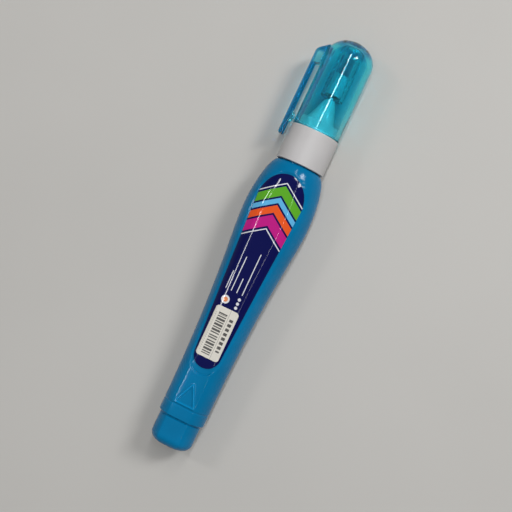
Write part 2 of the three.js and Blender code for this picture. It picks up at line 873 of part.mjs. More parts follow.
// Cap: thin wall, dome, inner sleeve round the tip, and the clip's block
function cap() {
  const domeStart = capEnd - domeLength;
  const ledge = spigotEnd + mouthDepth;
  const edge = edgeBreak;
  const innerReach = domeLength - crownThickness;
  const outside = quarterArc(domeStart, 0, domeLength, capRadius, 7);
  const inside = quarterArc(domeStart, 0, innerReach, capBore, 6);
  const sleeveRoot = inside.filter((point) => point[1] > sleeveRadius + edge);
  const meet = domeStart + innerReach * Math.sqrt(1 - (sleeveRadius / capBore) ** 2);
  const sleeveSeat = sealEnd + pressGap;
  const ventRadius = sleeveBore - sealLedge;
  const ventEnd = domeStart + innerReach;
  const profile = [
    ...outside,
    [capStart + edge, capRadius],
    [capStart, capRadius - edge],
    [capStart, capMouthBore],
    [ledge, capMouthBore],
    [ledge + edge, capBore],
    ...sleeveRoot.reverse(),
    [meet, sleeveRadius],
    [sleeveStart + edge, sleeveRadius],
    [sleeveStart, sleeveRadius - edge],
    [sleeveStart, sleeveBore + edge],
    [sleeveStart + edge, sleeveBore],
    [sleeveSeat, sleeveBore],
    [sleeveSeat, ventRadius],
    [ventEnd - sealLedge, ventRadius],
    [ventEnd, ventRadius - sealLedge],
    [ventEnd, 0],
  ];
  const solid = toSolid(revolved(profile, 36)).add(toSolid(bridgeBlock()));
  return toGeometry(solid);
}

// Soft cup in the sleeve that closes over the metal tip
function tipSeal() {
  const radius = sleeveBore - pressGap;
  const taper = tipLength - tipShoulderLength - 3 * tipBevel;
  const fall = (tipShoulderRadius - tipBevel - tipEndRadius) / taper;
  const around = (x) => tipEndRadius + fall * (tipEnd - x) + sealGap;
  return revolved([
    [sealStart, around(sealStart) + edgeBreak],
    [sealStart, radius],
    [sealEnd, radius],
    [sealEnd, 0],
    [needleEnd + sealGap, 0],
    [needleEnd + sealGap, around(tipEnd)],
    [tipEnd, around(tipEnd)],
    [sealStart + edgeBreak, around(sealStart + edgeBreak)],
    [sealStart, around(sealStart) + edgeBreak],
  ]);
}

// The clip's arm with the rounded nub that grips a pocket's edge
function clipArm() {
  const free = capStart - clipOverhang;
  const root = bridgeStart - hingeGap;
  const nubMiddle = capStart + nubFromMouth;
  const nubReach = clipGap - nubGap;
  const edge = edgeBreak;
  const shape = new THREE.Shape();
  shape.moveTo(root, clipInner);
  shape.lineTo(nubMiddle + nubLength / 2, clipInner);
  shape.bezierCurveTo(
    nubMiddle + nubLength * 0.35, clipInner - nubReach * 1.33,
    nubMiddle - nubLength * 0.35, clipInner - nubReach * 1.33,
    nubMiddle - nubLength / 2, clipInner,
  );
  shape.lineTo(free + edge, clipInner);
  shape.lineTo(free, clipInner + edge);
  shape.lineTo(free, clipOuter - edge);
  shape.lineTo(free + edge, clipOuter);
  shape.lineTo(root, clipOuter);
  shape.closePath();
  const arm = new THREE.ExtrudeGeometry(shape, {
    depth: clipWidth,
    curveSegments: 8,
    bevelEnabled: false,
  });
  arm.translate(0, 0, -clipWidth / 2);
  return welded(arm);
}

const ballHeight = wall + ballGap + ballRadius + stripDish - bellyHalfDepth;

function mixingBall() {
  const ball = new THREE.SphereGeometry(ballRadius, 20, 12);
  ball.translate(ballFromTail, 0, ballHeight);
  return welded(ball);
}

// The fluid lies in the lower side of the bottle, with a level top and a pocket for the ball
function correctionFluid() {
  const filled = toSolid(innerBody(wall + fluidGap));
  const pocket = new THREE.SphereGeometry(ballRadius + ballGap * 0.8, 20, 12);
  pocket.translate(ballFromTail, 0, ballHeight);
  const box = new THREE.BoxGeometry(2 * bodyLength, 4 * bellyHalfWidth, 2 * bellyHalfDepth);
  box.translate(bodyLength / 2, 0, -fluidBelowAxis - bellyHalfDepth);
  const fluid = filled.intersect(toSolid(box)).subtract(toSolid(pocket));
  console.log(`fluid: ${(fluid.volume() / 1000).toFixed(2)} ml`);
  return toGeometry(fluid);
}

function finish(colour, roughness, metalness = 0, opacity = 1) {
  return new THREE.MeshStandardMaterial({
    color: colour,
    roughness,
    metalness,
    opacity,
    transparent: opacity < 1,
  });
}

const bodyBlue = finish(0x0a7fb4, 0.35);
const labelNavy = finish(0x060b52, 0.3);
const paperWhite = finish(0xe6e3d8, 0.6);
const fluidWhite = finish(0xf2f1ec, 0.5);
const steel = finish(0xb9bcc0, 0.25, 1);
const mouldedWhite = finish(0xe3dfdc, 0.45);
const springSteel = finish(0xa9adb2, 0.3, 1);
const clearCyan = finish(0x13a5bf, 0.12, 0, 0.55);
const clipBlue = finish(0x0a6fb0, 0.15, 0, 0.8);
const softNatural = finish(0xd9ecec, 0.5, 0, 0.8);

const pen = new THREE.Group();

function add(name, geometry, material) {
  geometry.computeVertexNormals();
  const mesh = new THREE.Mesh(geometry, material.clone());
  mesh.name = name;
  pen.add(mesh);
}

add('squeeze_bottle', bottle(), bodyBlue);
add('front_label', label(), labelNavy);
add('barcode_sticker', sticker(), paperWhite);
add('mixing_ball', mixingBall(), steel);
add('correction_fluid', correctionFluid(), fluidWhite);
add('nozzle', nozzle(), mouldedWhite);
add('metal_tip', metalTip(), steel);
add('valve_needle', valveNeedle(), steel);
add('needle_carrier', needleCarrier(), fluidWhite);
add('valve_spring', valveSpring(), springSteel);
add('spring_retainer', springRetainer(), mouldedWhite);
add('cap', cap(), clearCyan);
add('tip_seal', tipSeal(), softNatural);
add('cap_clip', clipArm(), clipBlue);

pen.position.set(-restMiddle, 0, bellyHalfDepth);

const correctionPen = new THREE.Group();
correctionPen.add(pen);

export default correctionPen;
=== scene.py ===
"""Looks of a squeeze-type correction pen that lies on its back on a pale desk.

Sizes inside the maker functions are millimetres along the pen from its tail end, across it
towards the clip, and up from its axis. to_row() turns them into the frame's metres.
"""

import math

import bpy
import numpy as np
from mathutils import Matrix, Vector


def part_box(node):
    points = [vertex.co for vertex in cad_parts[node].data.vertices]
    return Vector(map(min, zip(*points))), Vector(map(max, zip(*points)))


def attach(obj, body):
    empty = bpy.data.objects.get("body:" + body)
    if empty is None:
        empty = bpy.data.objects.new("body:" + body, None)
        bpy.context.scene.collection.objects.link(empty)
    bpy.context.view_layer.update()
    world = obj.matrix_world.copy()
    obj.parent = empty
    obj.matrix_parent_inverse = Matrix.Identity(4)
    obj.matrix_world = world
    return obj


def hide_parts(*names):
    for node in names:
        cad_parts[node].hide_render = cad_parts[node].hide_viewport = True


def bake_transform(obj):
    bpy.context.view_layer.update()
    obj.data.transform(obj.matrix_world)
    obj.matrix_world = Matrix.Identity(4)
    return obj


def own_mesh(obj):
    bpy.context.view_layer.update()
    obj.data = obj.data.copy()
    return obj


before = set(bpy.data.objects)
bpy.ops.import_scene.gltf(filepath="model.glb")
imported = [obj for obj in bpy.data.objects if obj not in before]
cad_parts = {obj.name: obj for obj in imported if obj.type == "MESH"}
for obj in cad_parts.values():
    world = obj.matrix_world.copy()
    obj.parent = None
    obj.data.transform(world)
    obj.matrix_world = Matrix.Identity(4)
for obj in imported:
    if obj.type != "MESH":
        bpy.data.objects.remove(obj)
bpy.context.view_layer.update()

bl_info = {
    "name": "Correction Pen",
    "version": (1, 0, 0),
    "blender": (4, 5, 0),
    "location": "View3D > Sidebar > Pen",
    "description": "Builds a squeeze-type correction pen and its studio stage",
    "category": "Add Mesh",
}

MM = 0.001
EASING_LIMIT = 0.42  # share of an edge that a rounded corner may take
SUPPORT = 1.15  # place of a corner's supports, as a share of its easing
TAIL_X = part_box("squeeze_bottle")[0].x
AXIS_Z = sum((corner.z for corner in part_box("nozzle")), 0.0) / 2

# Bottle, in millimetres from the tail end
TAIL_LENGTH = 9.7
STEP_RUN = 0.35
GROOVE = 14.0
GRIP_START = 14.4
BELLY = 80.8
BODY_END = 97.5
REST_FROM = 63.3
REST_TO = 87.3
TAIL_RADIUS = 6.95
TAIL_CORNER = 3.3
TAIL_DOME = 0.3
BAND_RADIUS = 7.65
BAND_DEPTH = 6.6
BELLY_HALF = 11.15
BELLY_DEPTH = 8.8
SHOULDER_HALF = 7.5
SHOULDER_DEPTH = 7.05
STRIPS = ((0.0, 3.7), (TAIL_LENGTH, 3.7), (39.3, 3.25), (BELLY, 4.2), (BODY_END, 2.6))
STRIP_DISH = 0.1
DISH_GAIN = 0.6
DISH_RUN = 10
FOOT_DEPTH = 0.32
FOOT_WIDTH = 0.32
SEAM_WIDTH = 0.16
NECK_RADIUS = 6.33
NECK_BORE = 5.23
BEAD_RADIUS = 6.68
BEAD_START = 101.9
NECK_END = 106.95
TRIANGLE_BASE = 14.85
TRIANGLE_LENGTH = 7.1
TRIANGLE_HALF = 3.3

# Label and sticker
LABEL_FROM = 27.8
LABEL_TO = 93.75
LABEL_TAIL_HALF = 4.5
LABEL_FRONT_HALF = 7.5
LABEL_FRONT_REACH = 9.0
RECESS_SIDE = 0.8
RECESS_TAIL = 2.35
WALL_REACH = 0.75
CRISP_REACH = 0.3
RIM_LINE_DEPTH = 0.18
RIM_LINE_WIDTH = 0.24
LABEL_LOW = -0.25
STICKER_FROM = 31.15
STICKER_LENGTH = 16.8
STICKER_WIDTH = 7.65
STICKER_CORNER = 1.0

# Nozzle and valve
COLLAR_START = 97.9
COLLAR_END = 109.65
COLLAR_RADIUS = 8.05
COLLAR_BORE = 6.8
DECK_START = 107.25
SPIGOT_RADIUS = 6.28
SPIGOT_END = 113.25
PLUG_START = 102.35
PLUG_RADIUS = 5.11
PLUG_BORE = 4.21
CHAMBER_START = 102.5
CHAMBER_RADIUS = 1.9
CONE_START = 113.75
CONE_END = 120.95
CONE_RADIUS = 4.6
CONE_NOSE = 1.7
TIP_SOCKET = 1.2
CHAMBER_OUTSIDE = 2.85
BEAD_GRIP = 6.57
TIP_BACK = 117.75
TIP_SHOULDER = 121.0
TIP_END = 125.75
TIP_RADIUS = 1.15
TIP_FLANGE = 1.45
TIP_BORE = 0.8
TIP_MOUTH = 0.43
TIP_NOSE = 0.62
TIP_TAPER = 0.68 / 3.8
NEEDLE_END = 126.35
NEEDLE_RADIUS = 0.35
STOP_RADIUS = 0.7
SPRING_START = 104.55
SPRING_END = 110.35
SPRING_CLOSING = 0.095

# Cap and clip
CAP_START = 109.73
CAP_END = 141.13
CAP_RADIUS = 7.9
CAP_BORE = 6.1
CAP_MOUTH_BORE = 6.4
DOME_START = 134.43
DOME_INSIDE = 5.0
SLEEVE_START = 121.35
SLEEVE_RADIUS = 3.8
SLEEVE_BORE = 2.8
SEAL_START = 122.35
SEAL_END = 129.45
SEAL_GAP = 0.3
CLIP_FREE = 105.13
CLIP_INNER = 9.6
CLIP_OUTER = 11.05
CLIP_HALF = 2.1
NUB_MIDDLE = 111.53
NUB_HALF = 2.1
NUB_HEIGHT = 1.2
CLIP_CORNER = 0.4
CLIP_FILLET = 0.5
CLIP_DROP = 3.6
BRIDGE_START = 129.98
BRIDGE_END = 136.98
BLOCK_BEND = 133.7

BALL_RADIUS = 2.5
BALL_PLACE = (71.3, 0.0, -4.9)

# Desk, in metres
DESK_REACH = 1.5
DESK_TOP = -0.00002


def srgb(red, green, blue):
    """A colour written in 0 to 255 steps, as the linear values that Blender's sockets take."""
    return tuple(
        value / 12.92 if value <= 0.04045 else ((value + 0.055) / 1.055) ** 2.4
        for value in (red / 255, green / 255, blue / 255)
    )


def colour(name, description, red, green, blue):
    return bpy.props.FloatVectorProperty(
        name=name,
        description=description,
        default=srgb(red, green, blue),
        subtype="COLOR",
        size=3,
        min=0.0,
        max=1.0,
    )


def length(name, description, millimetres):
    return number(name, description, millimetres * MM, "LENGTH")


def number(name, description, value, unit="NONE"):
    return bpy.props.FloatProperty(
        name=name, description=description, default=value, unit=unit, min=0.0
    )


def position(name, description, *metres):
    return bpy.props.FloatVectorProperty(
        name=name, description=description, default=metres, subtype="TRANSLATION"
    )


class PenSizes(bpy.types.PropertyGroup):
    """Small sizes of the pen's mouldings that a user may change."""

    recess_depth: length("Recess depth", "How deep the label's recess is", 0.35)
    groove_depth: length("Groove depth", "How deep the ring groove is", 0.16)
    groove_width: length("Groove width", "How wide the ring groove is", 1.0)
    ridge_height: length("Ridge height", "How high the triangle stands", 0.35)
    ridge_width: length("Ridge width", "How wide the triangle's line is", 0.85)
    crease_softness: length("Crease softness", "How wide the flat strip's creases are", 0.06)
    parting_line: length("Parting line", "How high the mould's parting line stands", 0.03)
    label_thickness: length("Label thickness", "How thick the label is", 0.18)
    bottle_wall: length("Bottle wall", "How thick the bottle's wall is", 1.0)
    wire: length("Spring wire", "How thick the valve spring's wire is", 0.3)
    spring_radius: length("Spring radius", "Radius of the spring to its wire's middle", 1.25)
    spring_turns: bpy.props.IntProperty(
        name="Spring turns", description="How often the wire goes round", default=5, min=3
    )


class PenColours(bpy.types.PropertyGroup):
    """Colours of the pen's finishes."""

    bottle: colour("Bottle", "Moulded blue of the bottle", 0, 115, 164)
    label: colour("Label", "Dark ground of the label", 2, 8, 76)
    band_one: colour("First band", "Green band of the label", 92, 170, 40)
    band_two: colour("Second band", "Orange band of the label", 232, 88, 34)
    band_three: colour("Third band", "Pale blue band of the label", 96, 178, 226)
    band_four: colour("Fourth band", "Magenta band of the label", 190, 28, 130)
    sticker: colour("Sticker", "Paper of the sticker", 220, 216, 206)
    collar: colour("Collar", "Off-white of the nozzle", 192, 190, 190)
    cap: colour("Cap", "Tint of the see-through cap", 64, 228, 246)
    # Painted light: a paler tint near the cap's mouth brightens the white spigot and cone seen
    # through it
    cap_mouth_painted_light: colour("Cap's mouth", "Paler tint of the cap's mouth", 106, 222, 236)
    # Painted light: a paler tint near the axis lightens the inner sleeve seen through the cap
    sleeve: colour("Sleeve", "Pale tint of the cap's inner sleeve", 150, 240, 246)
    # The cap's end: a deeper tint for its thicker plastic, and partly painted shade for the dark
    # rim seen there
    cap_end_depth_and_shade: colour("Cap's end", "Deeper tint of the cap's thick end", 4, 128, 194)
    clip: colour("Clip", "Tint of the clip's long arm", 14, 163, 221)
    # Painted light: a paler tint on the clip's nub and block stands in for the light and
    # highlights seen in them
    clip_painted_light: colour("Clip block", "Tint of the clip's nub and block", 132, 240, 255)
    steel: colour("Steel", "Turned metal", 196, 197, 199)
    fluid: colour("Fluid", "White of the fluid", 240, 239, 234)
    inner: colour("Inner plastic", "Natural plastic of the valve", 226, 226, 222)
    seal: colour("Seal", "Soft seal round the tip", 90, 192, 190)


class PenStage(bpy.types.PropertyGroup):
    """Floor, light and camera."""

    floor: colour("Floor", "Pale desk", 191, 189, 185)
    world: number("Room light", "Strength of the even light", 0.2)
    backdrop: number("Backdrop", "How pale the room looks behind the desk", 0.42)
    tube: number("Tube light", "Power of the long narrow lamp overhead", 3.9, "POWER")
    window: number("Window light", "Power of the lamp beyond the cap", 4.6, "POWER")
    far: number("Far light", "Power of the lamp on the clip's side", 0.9, "POWER")
    lens: number("Lens", "Focal length of the camera", 75.1, "CAMERA")
    roll: bpy.props.FloatProperty(
        name="Roll", description="Angle of the pen's axis in the picture",
        default=math.radians(64.76), subtype="ANGLE",
    )
    camera: position("Camera", "Where the camera stands", -0.0072, -0.046, 0.3448)
    target: position("Target", "Point in the middle of the picture", -0.0089, 0.0004, 0.0088)


def sizes():
    return bpy.context.scene.pen_sizes


def tint_of(name):
    """One of the pen's colours, as a plain tuple."""
    return tuple(getattr(bpy.context.scene.pen_colours, name))


# Curves and sections


def to_row(points):
    """Millimetres along, across and above the axis, as metres in the frame."""
    return np.asarray(points, float) * MM + np.array([TAIL_X, 0.0, AXIS_Z])


def curve(x, *corners):
    """Height at x of the cubic curve with these four corners."""
    share = np.linspace(0, 1, 2001)[:, None]
    a, b, c, d = (np.array(corner, float) for corner in corners)
    points = (
        a * (1 - share) ** 3
        + 3 * b * share * (1 - share) ** 2
        + 3 * c * share**2 * (1 - share)
        + d * share**3
    )
    return np.interp(x, points[:, 0], points[:, 1])


def smooth(x, low, high):
    share = np.clip((x - low) / (high - low), 0, 1)
    return share * share * (3 - 2 * share)


def softer_min(a, b, width):
    """The smaller of two values, with the corner between them rounded."""
    near = np.maximum(width - np.abs(a - b), 0) / width
    return np.minimum(a, b) - near * near * width / 4


def past_step(x):
    """0 on the narrow tail, 1 on the band past its step."""
    return smooth(x, TAIL_LENGTH - 0.05, TAIL_LENGTH + STEP_RUN + 0.1)


def half_width(x):
    x = np.asarray(x, float)
    grip = curve(x, (GRIP_START, BAND_RADIUS), (GRIP_START + 43, BAND_RADIUS + 0.2),
                 (BELLY - 10.8, BELLY_HALF), (BELLY, BELLY_HALF))
    shoulder = curve(x, (BELLY, BELLY_HALF), (BELLY + 6, BELLY_HALF),
                     (BODY_END - 1.7, SHOULDER_HALF + 2.4), (BODY_END, SHOULDER_HALF))
    width = np.where(x < BELLY, grip, shoulder)
    width = np.where(x < GRIP_START, BAND_RADIUS, width)
    return np.where(x < GRIP_START, TAIL_RADIUS + (width - TAIL_RADIUS) * past_step(x), width)


def half_depth(x):
    x = np.asarray(x, float)
    run = REST_FROM - GRIP_START
    back = curve(x, (GRIP_START, BAND_DEPTH), (GRIP_START + 0.45 * run, BAND_DEPTH),
                 (GRIP_START + 0.7 * run, BELLY_DEPTH), (REST_FROM, BELLY_DEPTH))
    front = curve(x, (REST_TO, BELLY_DEPTH), ((REST_TO + BODY_END) / 2, BELLY_DEPTH),
                  (BODY_END - 0.85, SHOULDER_DEPTH + 1.2), (BODY_END, SHOULDER_DEPTH))
    depth = np.where(x < REST_FROM, back, np.where(x < REST_TO, BELLY_DEPTH, front))
    tail = math.sqrt(TAIL_RADIUS**2 - STRIPS[0][1] ** 2)
    return np.where(x < GRIP_START, tail + (BAND_DEPTH - tail) * past_step(x), depth)


def strip_half(x):
    x = np.asarray(x, float)
    value = np.full_like(x, STRIPS[0][1])
    for (start, low), (end, high) in zip(STRIPS, STRIPS[1:]):
        value = np.where(x > start, low + (high - low) * smooth(x, start, end + 1e-9), value)
    return value


def dish(x):
    """How far the front strip is drawn in along its middle."""
    deep = STRIP_DISH * (1 + DISH_GAIN * smooth(x, LABEL_FROM, LABEL_FROM + DISH_RUN))
    return deep * smooth(x, TAIL_LENGTH, GRIP_START) * (1 - smooth(x, LABEL_TO - 2, BODY_END))


def strip_cut(x, tall, flat, full):
    """A section's front: round sides cut by the flat strip, and plainly round at the shoulder."""
    cut = softer_min(tall, flat, sizes().crease_softness / MM)
    return cut + (full - cut) * smooth(x, LABEL_TO - 3, LABEL_TO + 1)


def dished(x, across):
    """How far the strip is drawn in at a share of its half width: flat, with curled edges."""
    return dish(x) * (1 - across**4)


def front_height(x, y):
    """Height of the bottle's front over its axis, before the recess is cut."""
    width, depth, strip = half_width(x), half_depth(x), strip_half(x)
    tall = depth / np.sqrt(1 - (strip / width) ** 2)
    round_part = tall * np.sqrt(np.clip(1 - (y / width) ** 2, 0, 1))
    across = np.clip(np.abs(y) / strip, 0, 1)
    return strip_cut(x, round_part, depth - dished(x, across), round_part * depth / tall)


def over_front(x, y, rise):
    """Points at this height square to the front surface."""
    step = 0.02
    across = (front_height(x, y + step) - front_height(x, y - step)) / (2 * step)
    along = (front_height(x + step, y) - front_height(x - step, y)) / (2 * step)
    size = np.sqrt(1 + across**2 + along**2)
    return np.stack(
        [x - rise * along / size, y - rise * across / size, front_height(x, y) + rise / size],
        axis=-1,
    )


def label_half(x, side=0.0, tail=0.0):
    """Half width of the label, or of its recess with margins added."""
    x = np.asarray(x, float)
    tail_middle = LABEL_FROM + LABEL_TAIL_HALF
    front_middle = LABEL_TO - LABEL_FRONT_REACH
    tail_half = LABEL_TAIL_HALF + side
    front_half = LABEL_FRONT_HALF + side
    straight = np.interp(x, [tail_middle, front_middle], [tail_half, front_half])
    tail_share = np.clip((tail_middle - x) / (LABEL_TAIL_HALF + tail), 0, 1)
    front_share = np.clip((x - front_middle) / (LABEL_FRONT_REACH + side), 0, 1)
    return straight * np.sqrt(1 - tail_share**2) * np.sqrt(1 - front_share**2)


def outline_distance(points, outline):
    """Distance from each point to a closed outline, less than nought inside it."""
    start, end = outline, np.roll(outline, -1, axis=0)
    best = np.full(len(points), 1e9)
    inside = np.zeros(len(points), bool)
    for a, b in zip(start, end):
        run = b - a
        share = np.clip((points - a) @ run / max(run @ run, 1e-12), 0, 1)
        gap = np.linalg.norm(points - (a + share[:, None] * run), axis=1)
        best = np.minimum(best, gap)
        crosses = (a[1] > points[:, 1]) != (b[1] > points[:, 1])
        if run[1] != 0:
            crossing = a[0] + (points[:, 1] - a[1]) * run[0] / run[1]
            inside ^= crosses & (points[:, 0] < crossing)
    return np.where(inside, -best, best)


def recess_outline():
    share = np.sin(np.linspace(-math.pi / 2, math.pi / 2, 90))
    low = LABEL_FROM - RECESS_TAIL
    high = LABEL_TO + RECESS_SIDE
    x = (low + high) / 2 + share * (high - low) / 2
    half = label_half(x, RECESS_SIDE, RECESS_TAIL)
    return np.concatenate([np.stack([x, half], 1), np.stack([x[::-1], -half[::-1]], 1)])


# Meshes


def add_object(name, data):
    """A new object in the scene."""
    made = bpy.data.objects.new(name, data)
    bpy.context.scene.collection.objects.link(made)
    return made


def make_object(name, points, faces):
    """A smooth-shaded object in the row frame from points in millimetres."""
    mesh = bpy.data.meshes.new(name)
    mesh.from_pydata(to_row(points).tolist(), [], faces)
    mesh.validate()
    mesh.polygons.foreach_set("use_smooth", [True] * len(mesh.polygons))
    piece = add_object(name, mesh)
    if signed_volume(mesh) < 0:
        mesh.flip_normals()
    mesh.set_sharp_from_angle(angle=math.radians(50))
    return piece


def signed_volume(mesh):
    mesh.calc_loop_triangles()
    corners = np.empty(len(mesh.vertices) * 3)
    mesh.vertices.foreach_get("co", corners)
    corners = corners.reshape(-1, 3)
    index = np.empty(len(mesh.loop_triangles) * 3, np.int32)
    mesh.loop_triangles.foreach_get("vertices", index)
    a, b, c = (corners[index.reshape(-1, 3)[:, k]] for k in range(3))
    return float(np.einsum("ij,ij->i", a, np.cross(b, c)).sum() / 6)


def loft(name, rings, looped=False, poles=None):
    """Joins rings of equal count, closed round, and closes the ends at their poles."""
    rings = np.asarray(rings, float)
    count, sides, _ = rings.shape
    index = np.arange(count * sides).reshape(count, sides)
    after = np.roll(index, -1, axis=0) if looped else index[1:]
    before = index if looped else index[:-1]
    quads = np.stack(
        [before, np.roll(before, -1, axis=1), np.roll(after, -1, axis=1), after], axis=-1
    )
    faces = quads.reshape(-1, 4).tolist()
    points = rings.reshape(-1, 3)
    if not looped:
        first, last = poles if poles else (rings[0].mean(axis=0), rings[-1].mean(axis=0))
        points = np.vstack([points, first, last])
        for ring, pole in ((index[0][::-1], len(points) - 2), (index[-1], len(points) - 1)):
            faces.extend([int(a), int(b), pole] for a, b in zip(ring, np.roll(ring, -1)))
    return make_object(name, points, faces)


def eased(corners, steps=4):
    """A profile whose corners (x, radius, easing) are rounded, with supports beside them."""
    points = []
    for i, (x, radius, easing) in enumerate(corners):
        here = np.array([x, radius], float)
        if not easing or i in (0, len(corners) - 1):
            points.append(here)
            continue
        runs = [np.array(corners[k][:2], float) - here for k in (i - 1, i + 1)]
        sides = [np.linalg.norm(run) for run in runs]
        reach = min(easing, EASING_LIMIT * sides[0], EASING_LIMIT * sides[1])
        back, on = (run / side * reach for run, side in zip(runs, sides))
        points.append(here + back * SUPPORT)
        for share in np.linspace(0, 1, steps + 1):
            points.append(here + back * (1 - share) ** 2 + on * share**2)
        points.append(here + on * SUPPORT)
    return points


def circle(at, radius, angles):
    """A round ring with its points at these angles."""
    return np.stack(
        [np.full(len(angles), at), radius * np.cos(angles), radius * np.sin(angles)], axis=1
    )


def turned(name, profile, sides=96, looped=False):
    """Turns a profile of (x, radius) round the pen's axis."""
    profile = [tuple(point) for point in profile]
    poles = None
    if not looped:
        poles = ([profile[0][0], 0, 0], [profile[-1][0], 0, 0])
        profile = profile[1:-1]
    angles = np.linspace(0, 2 * math.pi, sides, endpoint=False)
    return loft(name, [circle(x, radius, angles) for x, radius in profile], looped, poles)


def section_angles(x):
    """Angles of one ring's points, with lines along the creases and the recess's sides."""
    width = float(half_width(x))
    crease = math.acos(float(strip_half(x)) / width)
    wall = RECESS_SIDE - WALL_REACH / 2
    recess = float(np.interp(x, [LABEL_FROM, LABEL_TO - LABEL_FRONT_REACH],
                             [LABEL_TAIL_HALF + wall, LABEL_FRONT_HALF + wall]))
    side = math.acos(min(recess / width, 0.86))
    soft, fine = 0.5 / width, 0.3 / width
    corner = np.concatenate([
        np.linspace(0, side - soft, 11)[:-1],
        np.linspace(side - soft, side + soft, 9)[:-1],
        np.linspace(side + soft, crease - fine, 5)[:-1],
        np.linspace(crease - fine, crease + fine, 9)[:-1],
    ])
    strip = np.linspace(crease + fine, math.pi - crease - fine, 49)
    return np.concatenate([corner, strip, math.pi - corner[::-1][:-1]])


BACK_ANGLES = np.linspace(math.pi, 2 * math.pi, 41)[:-1]


def section_ring(x, drawn=0.0, flat_front=False):
    """One ring of the bottle's skin at x, drawn in by some millimetres."""
    base_width, base_depth = float(half_width(x)), float(half_depth(x))
    width, depth = base_width - drawn, base_depth - drawn
    strip = float(strip_half(x)) * width / base_width
    tall = depth / math.sqrt(1 - (strip / width) ** 2)
    angles = np.concatenate([section_angles(x), BACK_ANGLES])
    y = width * np.cos(angles)
    height = tall * np.sin(angles)
    across = np.clip(np.abs(y) / strip, 0, 1)
    sunk = 0.0 if flat_front else dished(x, across)
    front = strip_cut(x, height, depth - sunk, height * depth / tall)
    back = -softer_min(-height, depth + 0 * height, sizes().crease_softness / MM)
    back = np.maximum(back, -depth)
    return np.stack([np.full_like(y, x), y, np.where(np.sin(angles) >= 0, front, back)], 1)


def ring_at(x, at, drawn=0.0, flat_front=False):
    """The ring of the section at x, moved to another place along the pen."""
    ring = section_ring(x, drawn, flat_front)
    ring[:, 0] = at
    return ring


def skin_normals(rings):
    along = np.gradient(rings, axis=0)
    around = np.roll(rings, -1, axis=1) - np.roll(rings, 1, axis=1)
    normals = np.cross(around, along)
    size = np.linalg.norm(normals, axis=2, keepdims=True)
    normals = normals / np.maximum(size, 1e-9)
    outward = np.sign((normals[..., 1:] * rings[..., 1:]).sum(axis=2).mean())
    return normals * outward


def skin_stations():
    """Places of the skin's rings: close where its detail is fine."""
    places = [TAIL_CORNER]
    for end, step in (
        (TAIL_LENGTH - 0.8, 1.2), (TAIL_LENGTH + STEP_RUN + 0.3, 0.06), (GROOVE - 0.6, 0.9),
        (GROOVE + 0.6, 0.08), (TRIANGLE_BASE + TRIANGLE_LENGTH + 0.6, 0.13),
        (LABEL_FROM - 2.8, 0.5), (LABEL_FROM + 4.5, 0.13), (LABEL_TO - 9.0, 0.95),
        (LABEL_TO + 1.2, 0.18), (BODY_END - 0.02, 0.16),
    ):
        count = max(2, round((end - places[-1]) / step))
        places.extend(np.linspace(places[-1], end, count + 1)[1:])
    return np.array(places)


def bottle_skin():
    """The outside of the bottle with its step, groove, recess, triangle and parting line."""
    places = skin_stations()
    rings = np.array([section_ring(x) for x in places])
    normals = skin_normals(rings)
    x, y, z = rings[..., 0], rings[..., 1], rings[..., 2]
    rise = np.zeros_like(x)
    settings = sizes()

    rise -= FOOT_DEPTH * np.exp(-(((x - TAIL_LENGTH + 0.1) / FOOT_WIDTH) ** 2))
    groove = np.clip(np.abs(x - GROOVE) / (settings.groove_width / MM / 2), 0, 1)
    rise -= settings.groove_depth / MM * np.cos(groove * math.pi / 2) ** 2

    front = (z > 0) & (x > LABEL_FROM - 3.5)
    flat = np.stack([x[front], y[front]], axis=1)
    depth = outline_distance(flat, recess_outline())
    crisp = 1 - smooth(x[front], LABEL_FROM - 1.5, LABEL_FROM + 2)
    reach = WALL_REACH + (CRISP_REACH - WALL_REACH) * crisp
    rise[front] -= settings.recess_depth / MM * smooth(-depth, -0.1, reach)
    rise[front] -= RIM_LINE_DEPTH * crisp * np.exp(-(((depth + 0.1) / RIM_LINE_WIDTH) ** 2))

    near = (z > 0) & (x > TRIANGLE_BASE - 1.5) & (x < TRIANGLE_BASE + TRIANGLE_LENGTH + 1.5)
    flat = np.stack([x[near], y[near]], axis=1)
    corners = np.array([
        [TRIANGLE_BASE, TRIANGLE_HALF],
        [TRIANGLE_BASE, -TRIANGLE_HALF],
        [TRIANGLE_BASE + TRIANGLE_LENGTH, 0.0],
    ])
    gap = np.abs(outline_distance(flat, corners))
    half = settings.ridge_width / MM / 2
    rise[near] += settings.ridge_height / MM * (1 - smooth(gap, 0.25 * half, 1.25 * half))

    seam = np.exp(-((z / SEAM_WIDTH) ** 2)) * smooth(x, TAIL_CORNER, TAIL_CORNER + 2)
    rise += settings.parting_line / MM * seam * (1 - smooth(x, BODY_END - 2.2, BODY_END - 0.7))
    return rings + normals * rise[..., None]


def tail_rings(drawn=0.0):
    """The rounded end of the tail, from its slightly domed middle to its full width."""
    corner = TAIL_CORNER - drawn
    rings = []
    base = section_ring(TAIL_CORNER)
    for share in (0.35, 0.7, 0.9):
        scale = (TAIL_RADIUS - TAIL_CORNER) / TAIL_RADIUS * share
        rings.append(base * [0, scale, scale] + [drawn + TAIL_DOME * share**2, 0, 0])
    for angle in np.linspace(0, math.pi / 2, 15)[:-1]:
        at = drawn + TAIL_DOME + (corner - TAIL_DOME) * (1 - math.cos(angle))
        rings.append(ring_at(TAIL_CORNER, at, drawn + corner * (1 - math.sin(angle))))
    return rings


